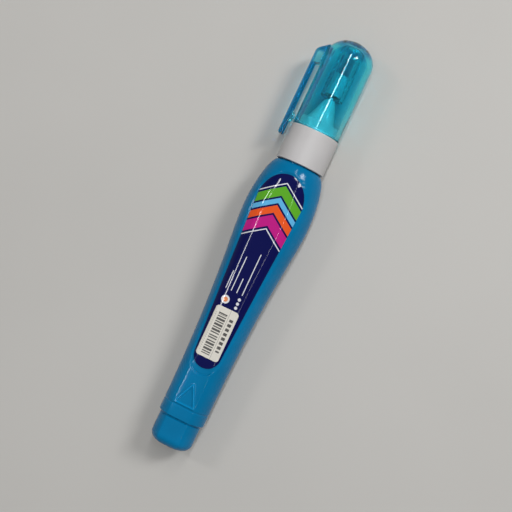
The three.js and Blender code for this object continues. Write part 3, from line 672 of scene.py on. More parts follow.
def bottle_shell():
    """The hollow bottle: skin, neck with its bead, bore and inner wall in one closed mesh."""
    wall = sizes().bottle_wall / MM
    skin = bottle_skin()
    rings = tail_rings() + list(skin)
    last = skin[-1]
    neck = eased([
        (BODY_END, 7.0, 0), (BODY_END, NECK_RADIUS, 0.15), (BEAD_START, NECK_RADIUS, 0.1),
        (BEAD_START + 0.3, BEAD_RADIUS, 0.12), (BEAD_START + 0.6, BEAD_RADIUS, 0.12),
        (BEAD_START + 1.2, NECK_RADIUS, 0.1), (NECK_END, NECK_RADIUS, 0.25),
        (NECK_END, NECK_BORE, 0.2), (BODY_END - 0.8, NECK_BORE, 0),
    ])
    rounded = last.copy()
    rounded[:, 1:] *= 0.985
    rounded[:, 0] = BODY_END
    rings.append(rounded)
    angles = np.arctan2(last[:, 2], last[:, 1])
    rings.extend(circle(x, radius, angles) for x, radius in neck)
    for x in np.concatenate([np.linspace(96.3, 87.3, 10), np.linspace(85.3, 15.3, 18)]):
        slope = float(half_width(x + 0.05) - half_width(x - 0.05)) / 0.1
        size = math.hypot(slope, 1)
        rings.append(ring_at(x, x + wall * slope / size, wall / size, True))
    rings.append(ring_at(TAIL_LENGTH - 0.2, TAIL_LENGTH - 0.2, wall, True))
    rings.extend(reversed(tail_rings(wall)))
    return loft("bottle_shell", rings, poles=([0.0, 0.0, 0.0], [wall, 0.0, 0.0]))


def sheet_on_front(name, x, half, low, high, lines=41):
    """A thin sheet on the bottle's front, with an eased rim, between two heights over it."""
    middle, reach = (x[0] + x[-1]) / 2, (x[-1] - x[0]) / 2
    across = np.sin(np.linspace(-math.pi / 2, math.pi / 2, lines))

    def layer(inset, rise):
        along = middle + (x - middle) * (1 - inset / reach)
        y = np.maximum(half - inset, 0.02)[:, None] * across
        return over_front(np.repeat(along[:, None], lines, axis=1), y, rise).reshape(-1, 3)

    easing = min(0.05, (high - low) / 3)
    points = np.concatenate([layer(easing, high), layer(0.0, high - easing), layer(0.0, low)])
    step = len(x) * lines
    index = np.arange(step).reshape(len(x), lines)
    top = np.stack([index[:-1, :-1], index[1:, :-1], index[1:, 1:], index[:-1, 1:]], axis=-1)
    top = top.reshape(-1, 4)
    base = top[:, [0, 3, 2, 1]] + 2 * step
    rim = np.concatenate([index[0, :], index[1:, -1], index[-1, -2::-1], index[-2:0:-1, 0]])
    after = np.roll(rim, -1)
    upper = np.stack([rim, after, after + step, rim + step], axis=-1)
    used, faces = np.unique(np.concatenate([top, base, upper, upper + step]),
                            return_inverse=True)
    return make_object(name, points[used], faces.reshape(-1, 4).tolist())


def wave_positions(low, high, count):
    """Places that lie closer together towards both ends."""
    share = (1 - np.cos(np.linspace(0, math.pi, count))) / 2
    return low + (high - low) * share


# Shader expressions


def add_node(tree, kind, settings=None, inputs=None):
    """Adds a node with these settings, and gives its sockets values or links."""
    made = tree.nodes.new(kind)
    for key, value in (settings or {}).items():
        setattr(made, key, value)
    for key, value in (inputs or {}).items():
        value = value.socket if isinstance(value, Value) else value
        if isinstance(value, bpy.types.NodeSocket):
            tree.links.new(value, made.inputs[key])
        else:
            made.inputs[key].default_value = value
    return made


def add_maths(tree, operation, *values, clamp=False):
    """Adds a Math node for these values or sockets, and gives its result."""
    settings = {"operation": operation, "use_clamp": clamp}
    return add_node(tree, "ShaderNodeMath", settings, dict(enumerate(values))).outputs[0]


def arithmetic(operation, swapped=False):
    """A method of Value that adds one Math node."""
    def apply(self, *others):
        values = (*others, self) if swapped else (self, *others)
        return self.finish.math(operation, *values)
    return apply


class Value:
    """A socket of a material whose arithmetic adds Math nodes."""

    def __init__(self, finish, socket):
        self.finish = finish
        self.socket = socket

    __add__ = __radd__ = arithmetic("ADD")
    __sub__ = arithmetic("SUBTRACT")
    __rsub__ = arithmetic("SUBTRACT", swapped=True)
    __mul__ = __rmul__ = arithmetic("MULTIPLY")
    __truediv__ = arithmetic("DIVIDE")
    __gt__ = arithmetic("GREATER_THAN")
    __abs__ = arithmetic("ABSOLUTE")


class Finish:
    """One procedural material, built from expressions."""

    def __init__(self, name):
        self.material = bpy.data.materials.new(name)
        self.material.use_nodes = True
        self.tree = self.material.node_tree
        self.tree.nodes.clear()
        place = self.node("ShaderNodeTexCoord").outputs["Object"]
        parts = self.node("ShaderNodeSeparateXYZ", inputs={"Vector": place})
        self.place = Value(self, place)
        self.along = (Value(self, parts.outputs["X"]) - TAIL_X) * (1 / MM)
        self.across = Value(self, parts.outputs["Y"]) * (1 / MM)
        self.above = (Value(self, parts.outputs["Z"]) - AXIS_Z) * (1 / MM)

    def node(self, kind, settings=None, inputs=None):
        return add_node(self.tree, kind, settings, inputs)

    def math(self, operation, *values, clamp=False):
        return Value(self, add_maths(self.tree, operation, *values, clamp=clamp))

    def ramp(self, value, low, high):
        """0 below low, 1 above high and smooth between them."""
        made = self.node("ShaderNodeMapRange", {"interpolation_type": "SMOOTHSTEP"},
                         {"Value": value, "From Min": low, "From Max": high})
        return Value(self, made.outputs["Result"])

    def inside(self, value, low, high, edge=0.06):
        """1 between low and high, with soft edges."""
        return self.ramp(value, low - edge, low + edge) * (
            1 - self.ramp(value, high - edge, high + edge)
        )

    def from_place(self, along, across):
        """Distance in millimetres from a place, seen from above."""
        first, second = self.along - along, self.across - across
        return self.math("SQRT", first * first + second * second)

    def noise(self, scale, detail=2.0, stretch=(1.0, 1.0, 1.0)):
        """Noise with spots of about 1 / scale metres, drawn out along an axis if asked."""
        mapping = self.node("ShaderNodeMapping", None,
                            {"Vector": self.place, "Scale": stretch})
        made = self.node("ShaderNodeTexNoise", None,
                         {"Vector": mapping.outputs[0], "Scale": scale, "Detail": detail})
        return Value(self, made.outputs["Fac"])

    def mix(self, share, first, second):
        """A colour between two colours."""
        first, second = (
            tint if isinstance(tint, Value) else (*tint, 1.0) for tint in (first, second)
        )
        made = self.node("ShaderNodeMix", {"data_type": "RGBA"}, {0: share, 6: first, 7: second})
        return Value(self, made.outputs[2])

    def mottled(self, cloud, tint, low, high):
        """The tint, a little darker and lighter where the cloud is thin and thick."""
        return self.mix(self.ramp(cloud, 0.3, 0.7), scaled(tint, low), scaled(tint, high))

    def bump(self, height, distance):
        made = self.node("ShaderNodeBump", None, {"Height": height, "Distance": distance})
        return Value(self, made.outputs["Normal"])

    def surface(self, inputs, see_through=None):
        """Ends the material in one shader. see_through is the tint that lamps' rays keep."""
        shader = self.node("ShaderNodeBsdfPrincipled", None, inputs).outputs["BSDF"]
        if see_through is not None:
            open_way = self.node("ShaderNodeBsdfTransparent", None,
                                 {"Color": (*see_through, 1.0)}).outputs["BSDF"]
            light = self.node("ShaderNodeLightPath").outputs["Is Shadow Ray"]
            shader = self.node("ShaderNodeMixShader", None,
                               {0: light, 1: shader, 2: open_way}).outputs["Shader"]
        self.node("ShaderNodeOutputMaterial", None, {"Surface": shader})
        return self.material


def scaled(tint, factor):
    return tuple(min(1.0, channel * factor) for channel in tint)


def moulded_blue():
    finish = Finish("moulded_blue")
    tint = tint_of("bottle")
    cloud = finish.noise(70, 3.0)
    grain = finish.noise(2600, 2.0)
    drawn = finish.noise(420, 2.0, (0.25, 1.0, 1.0))
    base = finish.mottled(cloud, tint, 0.93, 1.06)
    # Painted highlight: the triangle's raised line on the front is painted lighter, as if it
    # caught the light
    legs = (finish.along - TRIANGLE_BASE) * TRIANGLE_HALF + abs(finish.across) * TRIANGLE_LENGTH
    legs = (legs - TRIANGLE_HALF * TRIANGLE_LENGTH) / math.hypot(TRIANGLE_HALF, TRIANGLE_LENGTH)
    gap = abs(finish.math("MAXIMUM", legs, TRIANGLE_BASE - finish.along))
    ridge_highlight = (1 - finish.ramp(gap, 0.1, 0.45)) * (finish.above > 0.0)
    base = finish.mix(0.5 * ridge_highlight, base, scaled(tint, 1.7))
    return finish.surface({
        "Base Color": base,
        "Roughness": 0.09 + 0.05 * drawn + 0.04 * grain,
        "Normal": finish.bump(grain * 0.4 + drawn, 0.000012),
        "Specular IOR Level": 0.17,
    })


def printed_label():
    finish = Finish("printed_label")
    arrow = finish.along + 0.7 * abs(finish.across)
    white = srgb(222, 224, 230)
    bands = (
        (75.2, 75.6, white),
        (76.4, 80.2, tint_of("band_four")),
        (80.9, 83.5, tint_of("band_two")),
        (84.2, 86.0, tint_of("band_three")),
        (86.7, 89.9, tint_of("band_one")),
        (90.7, 91.1, white),
    )
    painted = tint_of("label")
    for low, high, tint in bands:
        painted = finish.mix(finish.inside(arrow, low, high), painted, tint)
    rules = ((3.6, 53.5, 59.5), (1.7, 53.5, 65.0), (-0.2, 53.5, 58.4), (-2.1, 53.5, 67.5))
    for across, low, high in rules:
        line = finish.inside(finish.across, across - 0.14, across + 0.14, 0.04)
        painted = finish.mix(line * finish.inside(finish.along, low, high), painted, white)
    discs = (
        (50.3, 2.2, 1.35, white), (50.3, 2.2, 0.8, srgb(226, 140, 92)), (49.1, -1.9, 0.5, white),
        (50.5, -1.9, 0.5, white), (51.9, -1.9, 0.5, white),
    )
    for along, across, radius, tint in discs:
        inside = 1 - finish.ramp(finish.from_place(along, across), radius - 0.05, radius + 0.05)
        painted = finish.mix(inside, painted, tint)
    cloud = finish.noise(160, 3.0)
    fine = finish.noise(3200, 1.0)
    return finish.surface({
        "Base Color": painted,
        "Roughness": 0.04 + 0.04 * cloud,
        "Normal": finish.bump(cloud + fine * 0.1, 0.00001),
        "Specular IOR Level": 0.33,
    })


def paper_with_bars():
    finish = Finish("paper_with_bars")

    def wave(pace):
        return finish.math("SINE", finish.along * pace)

    def row(pattern, start, end, low, high, edge):
        inside = finish.inside(finish.along, start, end, 0.02)
        return pattern * inside * finish.inside(finish.across, low, high, edge)

    bars = row(wave(6.9) + 0.8 * wave(10.7) > -0.15, 32.2, 46.3, -0.6, 2.25, 0.04)
    blocks = row(wave(4.1) > -0.35, 34.0, 45.2, -3.0, -1.75, 0.04)
    small = row(wave(9.0) > -0.2, 32.4, 46.0, 2.85, 3.15, 0.03) * 0.4
    divider = finish.inside(finish.across, -1.2, -1.05, 0.03) * 0.5
    ink = finish.math("MAXIMUM", bars + blocks, divider + small, clamp=True)
    fibre = finish.noise(1800, 4.0)
    paper = finish.mottled(fibre, tint_of("sticker"), 0.97, 1.02)
    return finish.surface({
        "Base Color": finish.mix(ink * 0.9, paper, srgb(28, 27, 30)),
        "Roughness": 0.5 + 0.1 * fibre,
        "Normal": finish.bump(fibre, 0.00002),
    })


def satin_plastic(name, tint, roughness=0.42):
    finish = Finish(name)
    cloud = finish.noise(120, 3.0)
    grain = finish.noise(3000, 2.0)
    return finish.surface({
        "Base Color": finish.mottled(cloud, tint, 0.975, 1.02),
        "Roughness": roughness + 0.08 * grain,
        "Normal": finish.bump(grain, 0.00003),
    })


def clear_plastic(name, tint, *others, matt=None):
    """Polished see-through plastic; its faint flow streaks run along the pen.

    Each of others is a second tint and a function that gives its share, and matt is a
    function that says where the mould left the plastic unpolished.
    """
    finish = Finish(name)
    streak = finish.noise(260, 2.0, (0.15, 1.0, 1.0))
    scuff = finish.noise(1500, 3.0)
    base = tint
    for second, share in others:
        base = finish.mix(share(finish), base, second)
    roughness = 0.05 + 0.06 * finish.ramp(scuff, 0.55, 0.8)
    if matt:
        roughness = roughness + 0.6 * matt(finish)
    grey = sum(tint) / 3
    return finish.surface({
        "Base Color": base,
        "Roughness": roughness,
        "Normal": finish.bump(streak, 0.00006),
        "Transmission Weight": 1.0,
        "IOR": 1.49,
    }, see_through=tuple(0.95 * (0.75 * grey + 0.25 * channel) for channel in tint))


def turned_steel(name, tint, roughness=0.2):
    finish = Finish(name)
    rings = finish.noise(5200, 1.0, (1.0, 0.04, 0.04))
    cloud = finish.noise(400, 2.0)
    return finish.surface({
        "Base Color": finish.mix(cloud, scaled(tint, 0.94), scaled(tint, 1.04)),
        "Metallic": 1.0,
        "Roughness": roughness + 0.12 * rings,
        "Normal": finish.bump(rings, 0.00001),
    })


def thick_fluid():
    finish = Finish("thick_fluid")
    tint = tint_of("fluid")
    swirl = finish.noise(180, 4.0)
    return finish.surface({
        "Base Color": finish.mix(swirl, scaled(tint, 0.94), scaled(tint, 1.03)),
        "Roughness": 0.3 + 0.15 * swirl,
        "Normal": finish.bump(swirl, 0.0001),
    })


def dress(piece, material, body, node):
    """Gives a piece its material and its body, and hides the CAD node that it stands for."""
    piece.data.materials.clear()
    piece.data.materials.append(material)
    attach(piece, body)
    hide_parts(node)


def paint_node(name, material):
    """Gives a CAD node that keeps its shape a better material."""
    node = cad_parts[name]
    node.data.materials.clear()
    node.data.materials.append(material)


# Operators


class PEN_OT_bottle(bpy.types.Operator):
    """Builds the blow-moulded bottle"""

    bl_idname = "pen.bottle"
    bl_label = "Bottle"

    def execute(self, context):
        dress(bottle_shell(), moulded_blue(), "bottle", "squeeze_bottle")
        return {"FINISHED"}


class PEN_OT_label(bpy.types.Operator):
    """Builds the label and the sticker on it"""

    bl_idname = "pen.label"
    bl_label = "Label and sticker"

    def execute(self, context):
        thickness = sizes().label_thickness / MM
        x = wave_positions(LABEL_FROM, LABEL_TO, 121)
        half = np.maximum(label_half(x), 0.02)
        label = sheet_on_front("label_film", x, half, LABEL_LOW, LABEL_LOW + thickness)
        dress(label, printed_label(), "bottle", "front_label")

        corner = STICKER_CORNER * (1 - np.cos(np.linspace(0, math.pi / 2, 9)))
        end = STICKER_FROM + STICKER_LENGTH
        straight = np.linspace(STICKER_FROM + STICKER_CORNER, end - STICKER_CORNER, 22)[1:-1]
        x = np.concatenate([STICKER_FROM + corner, straight, (end - corner)[::-1]])
        past = np.maximum(0, STICKER_CORNER - np.minimum(x - STICKER_FROM, end - x))
        half = STICKER_WIDTH / 2 - STICKER_CORNER + np.sqrt(STICKER_CORNER**2 - past**2)
        low = LABEL_LOW + thickness + 0.02
        sticker = sheet_on_front("bar_sticker", x, half, low, 0.15, lines=31)
        dress(sticker, paper_with_bars(), "bottle", "barcode_sticker")
        return {"FINISHED"}


class PEN_OT_nozzle(bpy.types.Operator):
    """Builds the white nozzle with its collar, spigot and cone"""

    bl_idname = "pen.nozzle"
    bl_label = "Nozzle"

    def execute(self, context):
        profile = eased([
            (COLLAR_START, COLLAR_BORE, 0), (COLLAR_START, COLLAR_RADIUS, 0.25),
            (COLLAR_END, COLLAR_RADIUS, 0.25), (COLLAR_END, SPIGOT_RADIUS, 0.12),
            (SPIGOT_END, SPIGOT_RADIUS, 0.5), (SPIGOT_END, 4.85, 0.3),
            (CONE_START, CONE_RADIUS, 0.2), (CONE_END, CONE_NOSE, 0.25),
            (CONE_END, TIP_SOCKET, 0.05), (TIP_BACK - 0.1, TIP_SOCKET, 0),
            (TIP_BACK - 0.8, CHAMBER_RADIUS, 0), (CHAMBER_START, CHAMBER_RADIUS, 0.1),
            (CHAMBER_START, CHAMBER_OUTSIDE, 0.15), (SPIGOT_END - 0.9, CHAMBER_OUTSIDE, 0.2),
            (SPIGOT_END - 0.9, PLUG_BORE, 0.2),
            (PLUG_START, PLUG_BORE, 0.1), (PLUG_START, PLUG_RADIUS - 0.2, 0.1),
            (PLUG_START + 0.4, PLUG_RADIUS, 0.1), (DECK_START, PLUG_RADIUS, 0.1),
            (DECK_START, COLLAR_BORE, 0.2), (BEAD_START - 0.12, COLLAR_BORE, 0),
            (BEAD_START - 0.52, BEAD_GRIP, 0.1), (BEAD_START - 1.08, BEAD_GRIP, 0.1),
            (BEAD_START - 1.72, COLLAR_BORE, 0), (COLLAR_START, COLLAR_BORE, 0),
        ])
        nozzle = turned("nozzle_moulding", profile[:-1], sides=144, looped=True)
        material = satin_plastic("collar_white", tint_of("collar"))
        dress(nozzle, material, "bottle", "nozzle")
        return {"FINISHED"}


def spring_tree():
    """Geometry Nodes: a wire that winds round the X axis, closer at both ends."""
    tree = bpy.data.node_groups.new("wound_spring", "GeometryNodeTree")
    face = tree.interface
    for name, kind in (("Geometry", "NodeSocketGeometry"), ("Start", "NodeSocketVector"),
                       ("Length", "NodeSocketFloat"), ("Radius", "NodeSocketFloat"),
                       ("Wire", "NodeSocketFloat"), ("Turns", "NodeSocketFloat"),
                       ("Material", "NodeSocketMaterial")):
        face.new_socket(name=name, in_out="INPUT", socket_type=kind)
    face.new_socket(name="Geometry", in_out="OUTPUT", socket_type="NodeSocketGeometry")

    def node(kind, settings=None, inputs=None):
        return add_node(tree, kind, settings, inputs)

    def maths(operation, *values):
        return add_maths(tree, operation, *values)

    given = node("NodeGroupInput").outputs
    spiral = node("GeometryNodeCurveSpiral", None, {
        "Resolution": 40, "Rotations": given["Turns"], "Start Radius": given["Radius"],
        "End Radius": given["Radius"], "Height": 0.0,
    })
    share = node("GeometryNodeSplineParameter").outputs["Factor"]
    wave = maths("SINE", maths("MULTIPLY", share, 2 * math.pi))
    eased_share = maths("ADD", share, maths("MULTIPLY", wave, -SPRING_CLOSING))
    along = maths("MULTIPLY", eased_share, given["Length"])
    position = node("GeometryNodeInputPosition").outputs["Position"]
    flat = node("ShaderNodeSeparateXYZ", None, {"Vector": position}).outputs
    wound = node("ShaderNodeCombineXYZ", None, {"X": along, "Y": flat["X"], "Z": flat["Y"]})
    moved = node("ShaderNodeVectorMath", {"operation": "ADD"},
                 {0: wound.outputs[0], 1: given["Start"]})
    bent = node("GeometryNodeSetPosition", None,
                {"Geometry": spiral.outputs[0], "Position": moved.outputs[0]})
    ring = node("GeometryNodeCurvePrimitiveCircle", None,
                {"Resolution": 14, "Radius": given["Wire"]})
    solid = node("GeometryNodeCurveToMesh", None, {
        "Curve": bent.outputs[0], "Profile Curve": ring.outputs[0], "Fill Caps": True,
    })
    smooth_wire = node("GeometryNodeSetShadeSmooth", None, {"Geometry": solid.outputs[0]})
    real = node("GeometryNodeRealizeInstances", None, {"Geometry": smooth_wire.outputs[0]})
    dressed = node("GeometryNodeSetMaterial", None,
                   {"Geometry": real.outputs[0], "Material": given["Material"]})
    node("NodeGroupOutput", None, {"Geometry": dressed.outputs[0]})
    return tree


def grown(name, tree, values):
    """Runs a Geometry Nodes tree with these inputs and keeps the result as a plain mesh."""
    seed = add_object(name + "_seed", bpy.data.meshes.new(name + "_seed"))
    modifier = seed.modifiers.new("grow", "NODES")
    modifier.node_group = tree
    identifiers = {
        item.name: item.identifier
        for item in tree.interface.items_tree
        if item.item_type == "SOCKET" and item.in_out == "INPUT"
    }
    for key, value in values.items():
        modifier[identifiers[key]] = value
    bpy.context.view_layer.update()
    graph = bpy.context.evaluated_depsgraph_get()
    mesh = bpy.data.meshes.new_from_object(seed.evaluated_get(graph))
    if not mesh.polygons:
        raise RuntimeError(f"{name}: the tree made no faces")
    bpy.data.objects.remove(seed)
    mesh.name = name
    return add_object(name, mesh)


class PEN_OT_valve(bpy.types.Operator):
    """Builds the metal tip, its needle and the spring, and gives the carrier and the retainer a
    new material
    """

    bl_idname = "pen.valve"
    bl_label = "Valve"

    def execute(self, context):
        pen = sizes()
        steel = turned_steel("turned_steel", tint_of("steel"))
        tip = eased([
            (TIP_BACK, TIP_BORE, 0), (TIP_BACK, TIP_RADIUS, 0.08),
            (TIP_SHOULDER, TIP_RADIUS, 0.05), (TIP_SHOULDER, TIP_FLANGE, 0.08),
            (TIP_SHOULDER + 0.5, TIP_FLANGE, 0.1), (TIP_SHOULDER + 0.8, 1.3, 0.1),
            (TIP_END - 0.15, TIP_NOSE, 0.1), (TIP_END, 0.545, 0.05), (TIP_END, TIP_MOUTH, 0.03),
            (TIP_END - 1.6, TIP_MOUTH, 0), (TIP_END - 2.1, TIP_BORE, 0),
            (TIP_BACK, TIP_BORE, 0),
        ])
        dress(turned("tip_turned", tip[:-1], sides=64, looped=True), steel, "bottle",
              "metal_tip")
        start = (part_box("valve_needle")[0].x - TAIL_X) / MM
        needle = eased([
            (start, 0, 0), (start, NEEDLE_RADIUS, 0.08), (TIP_END - 3.35, NEEDLE_RADIUS, 0.05),
            (TIP_END - 3.0, STOP_RADIUS, 0.08), (TIP_END - 2.15, STOP_RADIUS, 0.05),
            (TIP_END - 1.67, NEEDLE_RADIUS, 0.05), (NEEDLE_END - 0.3, NEEDLE_RADIUS, 0.1),
            (NEEDLE_END - 0.05, 0.24, 0.1), (NEEDLE_END, 0, 0),
        ])
        dress(turned("needle_turned", needle, sides=40), steel, "valve", "valve_needle")
        wire = turned_steel("spring_steel", scaled(tint_of("steel"), 0.9), 0.28)
        spring = grown("spring_wire", spring_tree(), {
            "Start": tuple(to_row([SPRING_START + pen.wire / MM / 2, 0, 0])),
            "Length": (SPRING_END - SPRING_START) * MM - pen.wire,
            "Radius": pen.spring_radius,
            "Wire": pen.wire / 2,
            "Turns": float(pen.spring_turns),
            "Material": wire,
        })
        dress(spring, wire, "bottle", "valve_spring")
        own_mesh(spring)
        inner = satin_plastic("inner_plastic", tint_of("inner"), 0.38)
        paint_node("needle_carrier", inner)
        paint_node("spring_retainer", inner)
        return {"FINISHED"}


class PEN_OT_cap(bpy.types.Operator):
    """Builds the see-through cap with its inner sleeve and the soft seal"""

    bl_idname = "pen.cap"
    bl_label = "Cap"

    def execute(self, context):
        dome = [
            (DOME_START + (CAP_END - DOME_START) * math.cos(a), CAP_RADIUS * math.sin(a))
            for a in np.linspace(0, math.pi / 2, 31)
        ]
        inside = [
            (DOME_START + DOME_INSIDE * math.cos(a), CAP_BORE * math.sin(a))
            for a in np.linspace(math.pi / 2, 0, 41)
        ]
        inside = [point for point in inside if point[1] > SLEEVE_RADIUS + 0.3]
        meet = DOME_START + DOME_INSIDE * math.sqrt(1 - (SLEEVE_RADIUS / CAP_BORE) ** 2)
        mouth = eased([
            (*dome[-1], 0), (CAP_START, CAP_RADIUS, 0.3), (CAP_START, CAP_MOUTH_BORE, 0.3),
            (SPIGOT_END + 0.3, CAP_MOUTH_BORE, 1.0), (SPIGOT_END + 4.5, CAP_BORE, 1.5),
            (*inside[0], 0),
        ])
        vent = DOME_START + DOME_INSIDE
        sleeve = eased([
            (*inside[-1], 0), (meet, SLEEVE_RADIUS, 0.3),
            (SLEEVE_START, SLEEVE_RADIUS, 0.48), (SLEEVE_START, SLEEVE_BORE, 0.48),
            (SEAL_END + 0.05, SLEEVE_BORE, 0), (SEAL_END + 0.05, SLEEVE_BORE - 0.6, 0.1),
            (vent - 0.6, SLEEVE_BORE - 0.6, 0.3), (vent, SLEEVE_BORE - 1.2, 0.3), (vent, 0, 0),
        ])
        profile = dome[:-1] + list(mouth) + inside[1:-1] + list(sleeve)
        cap = turned("cap_shell", profile, sides=160)

        # Painted light: the cap is tinted paler over the spigot and cone, fading out towards the
        # cone's end
        def mouth_painted_light(finish):
            return 1 - finish.ramp(finish.along, SPIGOT_END, CONE_END)

        def near_rim(finish):
            return 1 - finish.ramp(finish.along, CAP_START + 0.25, CAP_START + 0.6)

        # Painted light: the cap is tinted paler within a little of the sleeve's radius from the
        # axis
        def sleeve_painted_light(finish):
            from_axis = finish.across * finish.across + finish.above * finish.above
            radius = finish.math("SQRT", from_axis)
            return 1 - finish.ramp(radius, SLEEVE_RADIUS + 0.2, SLEEVE_RADIUS + 0.8)

        # Deeper tint towards the dome's end: partly the thick plastic, partly painted shade of
        # its dark rim
        def dome_end_depth_and_shade(finish):
            return finish.ramp(finish.along, CAP_END - 3.6, CAP_END - 1.8)

        glass = clear_plastic(
            "clear_cyan", tint_of("cap"), (tint_of("cap_mouth_painted_light"), mouth_painted_light),
            (tint_of("cap_end_depth_and_shade"), dome_end_depth_and_shade), (tint_of("sleeve"), sleeve_painted_light), matt=near_rim,
        )
        dress(cap, glass, "cap", "cap")

        def around(x):
            """The seal's bore at x, clear of the tapered tip."""
            return TIP_NOSE + TIP_TAPER * (TIP_END - x) + SEAL_GAP

        seal = eased([
            (SEAL_END, 0, 0), (SEAL_END, SLEEVE_BORE - 0.05, 0.2),
            (SEAL_START, SLEEVE_BORE - 0.05, 0.2), (SEAL_START, around(SEAL_START) + 0.25, 0.15),
            (TIP_END, around(TIP_END), 0.1), (NEEDLE_END + 0.3, around(TIP_END), 0.2),
            (NEEDLE_END + 0.3, 0, 0),
        ])
        soft = satin_plastic("soft_seal", tint_of("seal"), 0.5)
        dress(turned("seal_cup", seal, sides=72), soft, "cap", "tip_seal")
        return {"FINISHED"}


def clip_edges():
    """The clip's inner and outer edge in a view from above, point for point."""
    inner, outer = [], []
    bend_start = BRIDGE_START - CLIP_FILLET
    for x in np.linspace(CLIP_FREE, bend_start, 90):
        bulge = max(0.0, 1 - ((x - NUB_MIDDLE) / NUB_HALF) ** 2)
        inner.append((x, CLIP_INNER - NUB_HEIGHT * bulge))
        outer.append((x, CLIP_OUTER))
    for angle in np.linspace(0, math.pi / 2, 9)[1:]:
        inner.append((bend_start + CLIP_FILLET * math.sin(angle),
                      CLIP_INNER - CLIP_FILLET * (1 - math.cos(angle))))
        outer.append((bend_start + 1.1 * angle / (math.pi / 2), CLIP_OUTER))
    for share in np.linspace(0, 1, 16)[1:]:
        x = BRIDGE_START + (BRIDGE_END - BRIDGE_START) * share
        foot = CLIP_INNER - CLIP_FILLET
        y = foot - (foot - CAP_RADIUS + 0.05) * min(1.0, share * 15)
        drop = max(0.0, (x - DOME_START) / (CAP_END - DOME_START))
        y = min(y, CAP_RADIUS * math.sqrt(1 - drop**2) - 0.05)
        inner.append((x, y))
        bend = BRIDGE_START + 0.6 + (BRIDGE_END - BRIDGE_START - 0.6) * share
        fall = max(0.0, (bend - BLOCK_BEND) / (BRIDGE_END - BLOCK_BEND))
        outer.append((bend, CLIP_OUTER - CLIP_DROP * fall**1.6))
    return np.array(inner), np.array(outer)


def clip_mesh():
    """The clip's arm, nub and block as one moulding with eased edges."""
    inner, outer = clip_edges()
    rings = []
    turns = np.linspace(0, math.pi / 2, 5)
    for (xi, yi), (xo, yo) in zip(inner, outer):
        run = np.array([xo - xi, yo - yi])
        thick = max(np.linalg.norm(run), 1e-3)
        easing = min(CLIP_CORNER, thick * 0.45)
        ring = []
        for side, low in ((1, True), (1, False), (-1, False), (-1, True)):
            for turn in (turns if (side == 1) == low else turns[::-1]):
                reach = easing * (1 - math.sin(turn))
                inset = easing * (1 - math.cos(turn))
                share = reach / thick if low else 1 - reach / thick
                ring.append((xi + run[0] * share, yi + run[1] * share,
                             side * (CLIP_HALF - inset)))
        rings.append(ring)
    rings = np.array(rings)
    start, end = rings[0], rings[-1]
    caps = []
    for share, back in ((0.0, 0.0), (0.75, 0.0), (0.92, 0.08), (0.98, 0.2)):
        middle = start.mean(axis=0)
        ring = middle + (start - middle) * (share if share else 0.4)
        ring[:, 0] = CLIP_FREE + back
        caps.append(ring)
    rings[0][:, 0] += CLIP_CORNER
    middle = end.mean(axis=0)
    closing = [middle + (end - middle) * share for share in (0.9, 0.5)]
    return loft("clip_moulding", np.concatenate([caps, rings, closing]))


class PEN_OT_clip(bpy.types.Operator):
    """Builds the clip, which bends at its root"""

    bl_idname = "pen.clip"
    bl_label = "Clip"

    def execute(self, context):
        clip = clip_mesh()

        # Painted light: the clip's block and its nub are tinted paler than the arm
        def pale(finish):
            block = finish.ramp(finish.along, BRIDGE_START - 0.3, BRIDGE_START + 0.3)
            block = block * (1 - finish.ramp(finish.along, BLOCK_BEND, BLOCK_BEND + 1.0))
            under = 1 - finish.ramp(finish.across, CLIP_INNER - 0.15, CLIP_INNER + 0.15)
            nub = under * finish.inside(finish.along, NUB_MIDDLE - 2.4, NUB_MIDDLE + 2.4)
            return block * (1 - finish.ramp(finish.across, 10.2, 10.7)) + nub

        glass = clear_plastic("clear_blue", tint_of("clip"), (tint_of("clip_painted_light"), pale))
        clip.data.materials.append(glass)
        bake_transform(clip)
        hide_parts("cap_clip")
        return {"FINISHED"}


class PEN_OT_contents(bpy.types.Operator):
    """Builds the mixing ball and dresses the fluid"""

    bl_idname = "pen.contents"
    bl_label = "Contents"

    def execute(self, context):
        x, _, height = BALL_PLACE
        angles = np.linspace(0, math.pi, 41)
        profile = [(x - BALL_RADIUS * math.cos(a), BALL_RADIUS * math.sin(a)) for a in angles]
        ball = turned("ball_polished", profile, sides=64)
        ball.data.transform(Matrix.Translation(Vector((0, 0, height * MM))))
        steel = turned_steel("ball_steel", tint_of("steel"), 0.12)
        dress(ball, steel, "ball", "mixing_ball")
        paint_node("correction_fluid", thick_fluid())
        return {"FINISHED"}


def area_lamp(name, place, target, size, power):
    lamp = bpy.data.lights.new(name, "AREA")
    lamp.shape = "RECTANGLE"
    lamp.size, lamp.size_y = size
    lamp.energy = power
    holder = add_object(name, lamp)
    holder.location = place
    direction = Vector(target) - Vector(place)
    holder.rotation_euler = direction.to_track_quat("-Z", "Y").to_euler()


def desk_top():
    finish = Finish("desk_top")
    tint = tuple(bpy.context.scene.pen_stage.floor)
    cloud = finish.noise(9, 3.0)
    grain = finish.noise(900, 2.0)
    return finish.surface({
        "Base Color": finish.mottled(cloud, tint, 0.98, 1.02),
        "Roughness": 0.55 + 0.1 * grain,
        "Specular IOR Level": 0.3,
    })


